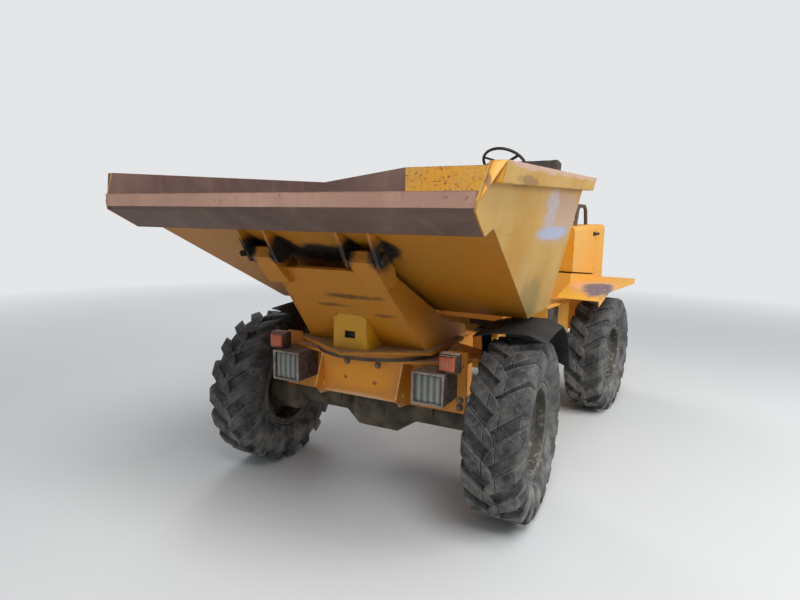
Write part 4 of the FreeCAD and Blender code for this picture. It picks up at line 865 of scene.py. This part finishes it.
# %% Rim section, nuts and the four wheels
RIM = [(0.066, 0.030), (0.064, 0.040), (0.054, 0.046), (0.052, 0.060), (0.052, 0.090), (0.049, 0.097),
       (0.030, 0.101), (0.0245, 0.108), (0.0265, 0.130), (0.029, 0.160), (0.034, 0.190), (0.042, 0.212),
       (0.056, 0.2225), (0.100, 0.2240), (0.114, 0.2270), (0.120, 0.2340), (0.123, 0.2480),
       (0.1225, 0.2550), (0.1195, 0.2575), (0.116, 0.2560), (0.1148, 0.2480), (0.114, 0.2318),
       (-0.114, 0.2318), (-0.1148, 0.2480), (-0.116, 0.2560), (-0.1195, 0.2575), (-0.1225, 0.2550),
       (-0.123, 0.2480), (-0.120, 0.2340), (-0.114, 0.2240), (0.030, 0.2240), (0.024, 0.2000),
       (0.016, 0.1500), (0.012, 0.1060), (-0.058, 0.1050), (-0.058, 0.0400)]
TRACK, WHEELBASE, AXLE_HEIGHT = 1.637, 2.256, 0.485
NUT_COUNT, NUT_CIRCLE, DISC_FACE = 8, 0.140, 0.0275
SCREW_COUNT, SCREW_CIRCLE, HUB_FACE = 5, 0.075, 0.052


def ring(count, radius, level, start=0.0):
    """Places round the axle, each looking outwards along it."""
    spots = []
    for number in range(count):
        angle = start + 2 * math.pi * number / count
        spots.append(aim((radius * math.cos(angle), radius * math.sin(angle), level), (0, 0, 1), angle))
    return spots


def wheel_frame(side, place, y, outward):
    """A matrix from a wheel's own frame, axle along Z and top along Y, to its place on the machine."""
    across = (place(1, 0, 0) - place(0, 0, 0)) * outward
    along = (place(0, 1, 0) - place(0, 0, 0)) * outward
    turn = Matrix((along, (0, 0, 1), across)).transposed().to_4x4()
    return Matrix.Translation(place(side * TRACK / 2, y, AXLE_HEIGHT)) @ turn


rim = lathed("rim", RIM_ENAMEL, 64, RIM)
nuts = spread(bolt(0.030, 0.018), ring(NUT_COUNT, NUT_CIRCLE, DISC_FACE), "nuts", BOLT_STEEL)
screws = spread(bolt(0.013, 0.008), ring(SCREW_COUNT, SCREW_CIRCLE, HUB_FACE, 0.3), "screws", BOLT_STEEL)
nuts = join([nuts, screws])
for wheel in WHEELS:
    side = 1 if wheel.endswith("left") else -1
    place, y = (front, 0.0) if wheel.startswith("front") else (rear, WHEELBASE)
    body = "wheel_" + wheel
    new_tyre = finish(stamp(tyre, wheel_frame(side, place, y, 1)), "bar_tyre_" + wheel, RUBBER, body)
    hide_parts("tyre_" + wheel)
    new_rim = finish(stamp(rim, wheel_frame(side, place, y, side)), "dished_rim_" + wheel, RIM_ENAMEL, body)
    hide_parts("rim_" + wheel)
    finish(stamp(nuts, wheel_frame(side, place, y, side)), "wheel_nuts_" + wheel, BOLT_STEEL, body)
for master in (tyre, rim, nuts):
    bpy.data.objects.remove(master)
print("wheel nuts", NUT_COUNT * len(WHEELS))

# %% [markdown]
# ## Headlamps and indicators
#
# Plant lamps are moulded boxes with a clipped bezel round a ribbed glass lens that stands a little proud. The
# lens is a thin block whose front is inset and pushed out twice, which crowns it. The bezel is a flat frame
# that gets its depth from a solidify. The indicator above has an amber lens of the same form.

# %% Lenses and bezels
LAMP_X, LAMP_FACE, LAMP_Z = 0.4505, -0.366, 0.7365
INDICATOR_X, INDICATOR_FACE, INDICATOR_Z = 0.5425, -0.332, 0.872


def lens(width, tall, deep, rim_width, crown):
    """A moulded lens centred on the origin that looks along -Y with a stepped and crowned front."""
    piece = block((width, deep, tall), (0, 0, 0), 0.003)
    pick(piece, "FACE", towards((0, -1, 0)))
    bpy.ops.mesh.inset(thickness=rim_width)
    bpy.ops.transform.translate(value=(0, -crown, 0))
    bpy.ops.mesh.inset(thickness=rim_width * 1.6)
    bpy.ops.transform.translate(value=(0, -crown * 0.5, 0))
    return piece


def bezel(width, tall, deep, place, band):
    """A flat frame round a lens, standing in the XZ plane."""
    begin()
    bpy.ops.mesh.primitive_plane_add(size=1, location=(0, 0, 0))
    piece = bpy.context.object
    piece.scale = (width, tall, 1)
    piece.rotation_euler = (math.radians(90), 0, 0)
    piece.location = place
    apply_place()
    pick(piece, "FACE", lambda face: True)
    bpy.ops.mesh.inset(thickness=band)
    bpy.ops.mesh.delete(type="FACE")
    begin()
    solid = piece.modifiers.new("depth", "SOLIDIFY")
    solid.thickness = deep
    solid.offset = 0
    rounded(piece, 0.002)
    return piece


glass = finish(lens(0.156, 0.150, 0.014, 0.010, 0.006), "glass", LENS_GLASS)
spots = [Matrix.Translation(front(side * LAMP_X, LAMP_FACE + 0.014, LAMP_Z)) for side in SIDES]
glasses = spread(glass, spots, "headlamp_glasses", LENS_GLASS, "front_chassis", 20)
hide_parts("headlamp_lenses")
frames = [bezel(0.181, 0.174, 0.012, front(side * LAMP_X, LAMP_FACE - 0.002, LAMP_Z), 0.012)
          for side in SIDES]
frames = join([finish(piece, "frame", LAMP_BEZEL_DUST_AND_LIGHT) for piece in frames])
finish(frames, "headlamp_bezels", LAMP_BEZEL_DUST_AND_LIGHT, "front_chassis")
amber = finish(lens(0.084, 0.074, 0.012, 0.006, 0.006), "amber", AMBER_LENS)
spots = [Matrix.Translation(front(side * INDICATOR_X, INDICATOR_FACE - 0.004, INDICATOR_Z))
         for side in SIDES]
ambers = spread(amber, spots, "indicator_lenses", AMBER_LENS, "front_chassis", 20)
stop = finish(lens(0.092, 0.072, 0.012, 0.006, 0.005), "stop", STOP_LENS)
spots = [rear_turn(rear(side * 0.46, 3.173, 0.999)) @ Matrix.Rotation(math.pi, 4, "Z") for side in SIDES]
spread(stop, spots, "stop_lamp_lenses", STOP_LENS, "rear_chassis", 20)
print("lamps", len(glasses.data.polygons), len(ambers.data.polygons))

# %% [markdown]
# ## Seat
#
# The seat is two moulded foam pads in cracked vinyl, sewn along a piped edge. A pad starts as a block that is
# subdivided, its middle is raised for the crown, its sides are pulled in between the corners, and a narrow
# band round it is swelled into the piping. Subdivision then rounds it, and a slow noise gives the slack of
# old foam.

# %% Seat pads
SLACK = bpy.data.textures.new("old_foam", "CLOUDS")
SLACK.noise_scale = 0.09
CROWN, WAIST, PIPING_SWELL = 0.016, 0.965, 0.006
PIPING_LOW, PIPING_HIGH = 0.27, 0.36


def pad(width, deep, thick):
    """A pad centred on the origin and crowned towards +Z."""
    piece = block((width, deep, thick), (0, 0, 0))
    pick(piece, "FACE", lambda face: True)
    bpy.ops.mesh.subdivide(number_cuts=5)
    for share, lift in ((0.68, CROWN * 0.6), (0.36, CROWN * 0.4)):
        pick(piece, "FACE", lambda face: face.normal.z > 0.9 and abs(face.center.x) < share * width / 2
             and abs(face.center.y) < share * deep / 2)
        bpy.ops.transform.translate(value=(0, 0, lift))
    pick(piece, "VERT", lambda vertex: abs(vertex.co.x) > width * 0.49 and abs(vertex.co.y) < deep * 0.4)
    bpy.ops.transform.resize(value=(WAIST, 1, 1), center_override=(0, 0, 0))
    pick(piece, "VERT", lambda vertex: abs(vertex.co.y) > deep * 0.49 and abs(vertex.co.x) < width * 0.4)
    bpy.ops.transform.resize(value=(1, WAIST, 1), center_override=(0, 0, 0))
    for level in (PIPING_LOW, PIPING_HIGH):
        pick(piece, "FACE", lambda face: True)
        bpy.ops.mesh.bisect(plane_co=(0, 0, thick * level), plane_no=(0, 0, 1))
    pick(piece, "FACE", lambda face: abs(face.normal.z) < 0.5
         and PIPING_LOW < face.center.z / thick < PIPING_HIGH)
    bpy.ops.transform.shrink_fatten(value=PIPING_SWELL)
    begin()
    soft = piece.modifiers.new("soft", "SUBSURF")
    soft.levels = soft.render_levels = 3
    slack = piece.modifiers.new("slack", "DISPLACE")
    slack.texture = SLACK
    slack.strength = 0.008
    slack.mid_level = 0.5
    return finish(piece, "pad", VINYL, smooth=60)


PADS = (("seat_cushion", (0.49, 0.44, 0.080), (0, 2.42, 1.689), 0.0),
        ("seat_back", (0.49, 0.47, 0.090), (0, 2.678, 1.957), math.radians(82)))
for node, size, place, lean in PADS:
    master = pad(*size)
    piece = finish(stamp(master, rear_turn(rear(*place), lean)), "padded_" + node, VINYL, "bonnet_lid", 60)
    bpy.data.objects.remove(master)
    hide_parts(node)
    print(node, len(piece.data.polygons))

# %% [markdown]
# ## Steering wheel
#
# A moulded rim on three flat spokes with a spinner knob, so that one hand can turn it while the other works
# the skip. The rim is a torus, the hub and the knob are turned, and the spokes are thin rounded blocks.

# %% Steering wheel
WHEEL_PLACE, WHEEL_LEAN = (0, 1.951, 2.098), math.radians(-36)
HUB = [(-0.030, 0.020), (-0.028, 0.030), (-0.004, 0.036), (0.008, 0.036), (0.014, 0.030), (0.016, 0.018)]
SPINNER = [(0.004, 0.006), (0.022, 0.006), (0.024, 0.015), (0.034, 0.020), (0.046, 0.019), (0.053, 0.012),
           (0.055, 0.004)]
begin()
bpy.ops.mesh.primitive_torus_add(major_radius=0.187, minor_radius=0.0125, major_segments=72,
                                 minor_segments=16)
hoop = finish(bpy.context.object, "hoop", BLACK_PLASTIC)
hub = lathed("hub", BLACK_PLASTIC, 32, HUB)
spinner = copies(lathed("spinner", BLACK_PLASTIC, 28, SPINNER), [Matrix.Translation((-0.176, 0.05, 0))])
spoke = slab("spoke", BLACK_PLASTIC, (0.160, 0.026, 0.006), (0.105, 0, -0.002), 0.002)
spokes = copies(spoke, [Matrix.Rotation(math.radians(angle), 4, "Z") for angle in (90, 210, 330)])
hoop = join([hoop, hub, spinner, spokes])
wheel = finish(stamp(hoop, rear_turn(rear(*WHEEL_PLACE), WHEEL_LEAN)), "moulded_steering_wheel",
               BLACK_PLASTIC, "rear_chassis")
bpy.data.objects.remove(hoop)
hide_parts("steering_wheel")
print("steering wheel", len(wheel.data.polygons))

# %% [markdown]
# ## Bolts on the front panel
#
# The panel between the headlamps is held by two bolts at its top and by two on each ear, and a turned boss
# sits in each gusset. Copies of one bolt are turned to face forwards; the boss is a short turned plug.

# %% Bolts and bosses on the front panel
PANEL_FACE, EAR_FACE = -0.274, -0.170
spots = [aim(front(x, PANEL_FACE, 0.795), (0, -1, 0)) for x in (-0.09, 0.11)]
spots += [aim(front(side * 0.556, EAR_FACE, z), (0, -1, 0), 0.3) for side in SIDES for z in (0.60, 0.64)]
spread(bolt(0.022, 0.014), spots, "front_panel_bolts", BOLT_STEEL, "front_chassis")
# the bosses take the same pale edge colour, which is a painted highlight
boss = lathed("boss", PLATE_EDGE_HIGHLIGHT, 24, [(-0.011, 0.014), (-0.010, 0.017), (0.010, 0.017), (0.011, 0.014)])
spots = [aim(front(side * 0.253, -0.262, 0.640), (1, 0, 0)) for side in SIDES]
spread(boss, spots, "gusset_bosses", PLATE_EDGE_HIGHLIGHT, "front_chassis")
print("bolts and bosses on the front panel")

# %% [markdown]
# ## Tipping pins
#
# The tipping pins carry a head and a keeper plate with one bolt, so they can't turn. The head is turned, the
# keeper is a thin rounded block, and all of it is black with old grease.

# %% Pin heads and keepers
PIN_Y, PIN_Z, LUG_FACE = -0.720, 1.412, 0.376
head = lathed("head", GREASY_STEEL, 32, [(0.0, 0.030), (0.009, 0.030), (0.013, 0.026), (0.014, 0.008)])
keeper = slab("keeper", GREASY_STEEL, (0.066, 0.028, 0.006), (0.044, 0, 0.003), 0.0015)
stud = spread(bolt(0.017, 0.010), [Matrix.Translation((0.062, 0, 0.006))], "stud", GREASY_STEEL)
spots = [aim(front(side * LUG_FACE, PIN_Y, PIN_Z), (side, 0, 0)) for side in SIDES]
spread(join([head, keeper, stud]), spots, "tipping_pin_heads", GREASY_STEEL, "skip")
print("pin heads at", PIN_Y, PIN_Z)

# %% [markdown]
# ## Bolts and latches on the rear body
#
# The counterweight and the cowl are held by bolts from behind. The lid is held down by a moulded latch on
# each side: a foot on the panel, a strap, and a grip to pull it by. Two blocks and a turned knob make one.

# %% Rear bolts and lid latches
rows = [(side * 0.34, 3.13, z) for side in SIDES for z in (0.66, 1.04)]
rows += [(side * x, 3.06, z) for side in SIDES for x, z in ((0.56, 1.20), (0.56, 1.50), (0.20, 1.555))]
spots = [aim(rear(*place), rear_way(0, 1, 0)) for place in rows]
spread(bolt(0.019, 0.011), spots, "rear_body_bolts", BOLT_STEEL, "rear_chassis")
foot = slab("foot", BLACK_PLASTIC, (0.050, 0.034, 0.010), (-0.042, 0, 0.005), 0.002)
strap = slab("strap", BLACK_PLASTIC, (0.090, 0.020, 0.008), (0.010, 0, 0.013), 0.003)
grip = lathed("grip", BLACK_PLASTIC, 24, [(0.006, 0.008), (0.008, 0.013), (0.022, 0.013), (0.025, 0.009)])
grip = copies(grip, [Matrix.Translation((0.050, 0, 0))])
spots = []
for side in SIDES:
    turn = Matrix((rear_way(0, 1, 0), (0, 0, side), rear_way(1, 0, 0) * side)).transposed().to_4x4()
    spots.append(Matrix.Translation(rear(side * 0.600, 2.735, 1.50)) @ turn)
spread(join([foot, strap, grip]), spots, "lid_latches", BLACK_PLASTIC, "bonnet_lid")
print("rear bolts", len(rows), "latches", len(spots))

# %% [markdown]
# ## Levers and console
#
# The levers end in moulded knobs, and the console has an hour meter and two warning lamps. All of them are
# round, so each is turned at its real size and stood on a lever's end or on the console's slope.

# %% Lever knobs and the console's instruments
KNOB = [(-0.006, 0.008), (0.000, 0.012), (0.010, 0.019), (0.022, 0.022), (0.034, 0.019), (0.042, 0.012),
        (0.045, 0.004)]
METER = [(0.000, 0.034), (0.005, 0.034), (0.007, 0.031), (0.004, 0.029), (0.0045, 0.010)]
WARNING_LAMP = [(0.000, 0.009), (0.003, 0.009), (0.005, 0.006), (0.0055, 0.002)]
lean, slope = rear_way(0, 0.24, 0.97), rear_way(0, 0.62, 0.78)
spots = [aim(rear(x, 1.6415, 1.738), lean) for x in (-0.165, -0.125, 0.165)]
spread(lathed("knob", BLACK_PLASTIC, 24, KNOB), spots, "lever_knobs", BLACK_PLASTIC, "rear_chassis")
meter = lathed("meter", BLACK_PLASTIC, 40, METER)
spread(meter, [aim(rear(0.07, 1.61, 1.599), slope)], "hour_meter", BLACK_PLASTIC, "rear_chassis")
spots = [aim(rear(x, 1.61, 1.599), slope) for x in (-0.02, -0.06)]
spread(lathed("lamp", STOP_LENS, 20, WARNING_LAMP), spots, "warning_lamps", STOP_LENS, "rear_chassis")
print("knobs, hour meter and warning lamps")

# %% [markdown]
# ## Foot grips
#
# The footplate has thin strips welded across it, so that wet boots don't slip. One strip is a low rounded
# block, and eight of them lie on each side.

# %% Foot grips on the footplate
GRIP_START, GRIP_STEP, GRIP_COUNT = 1.52, 0.06, 8
strip = slab("strip", BOLT_STEEL, (0.34, 0.012, 0.004), (0, 0, 0.002), 0.001)
spots = [rear_turn(rear(side * 0.42, GRIP_START + GRIP_STEP * number, 0.949))
         for side in SIDES for number in range(GRIP_COUNT)]
spread(strip, spots, "foot_grips", BOLT_STEEL, "rear_chassis")
print("foot grips", len(spots))
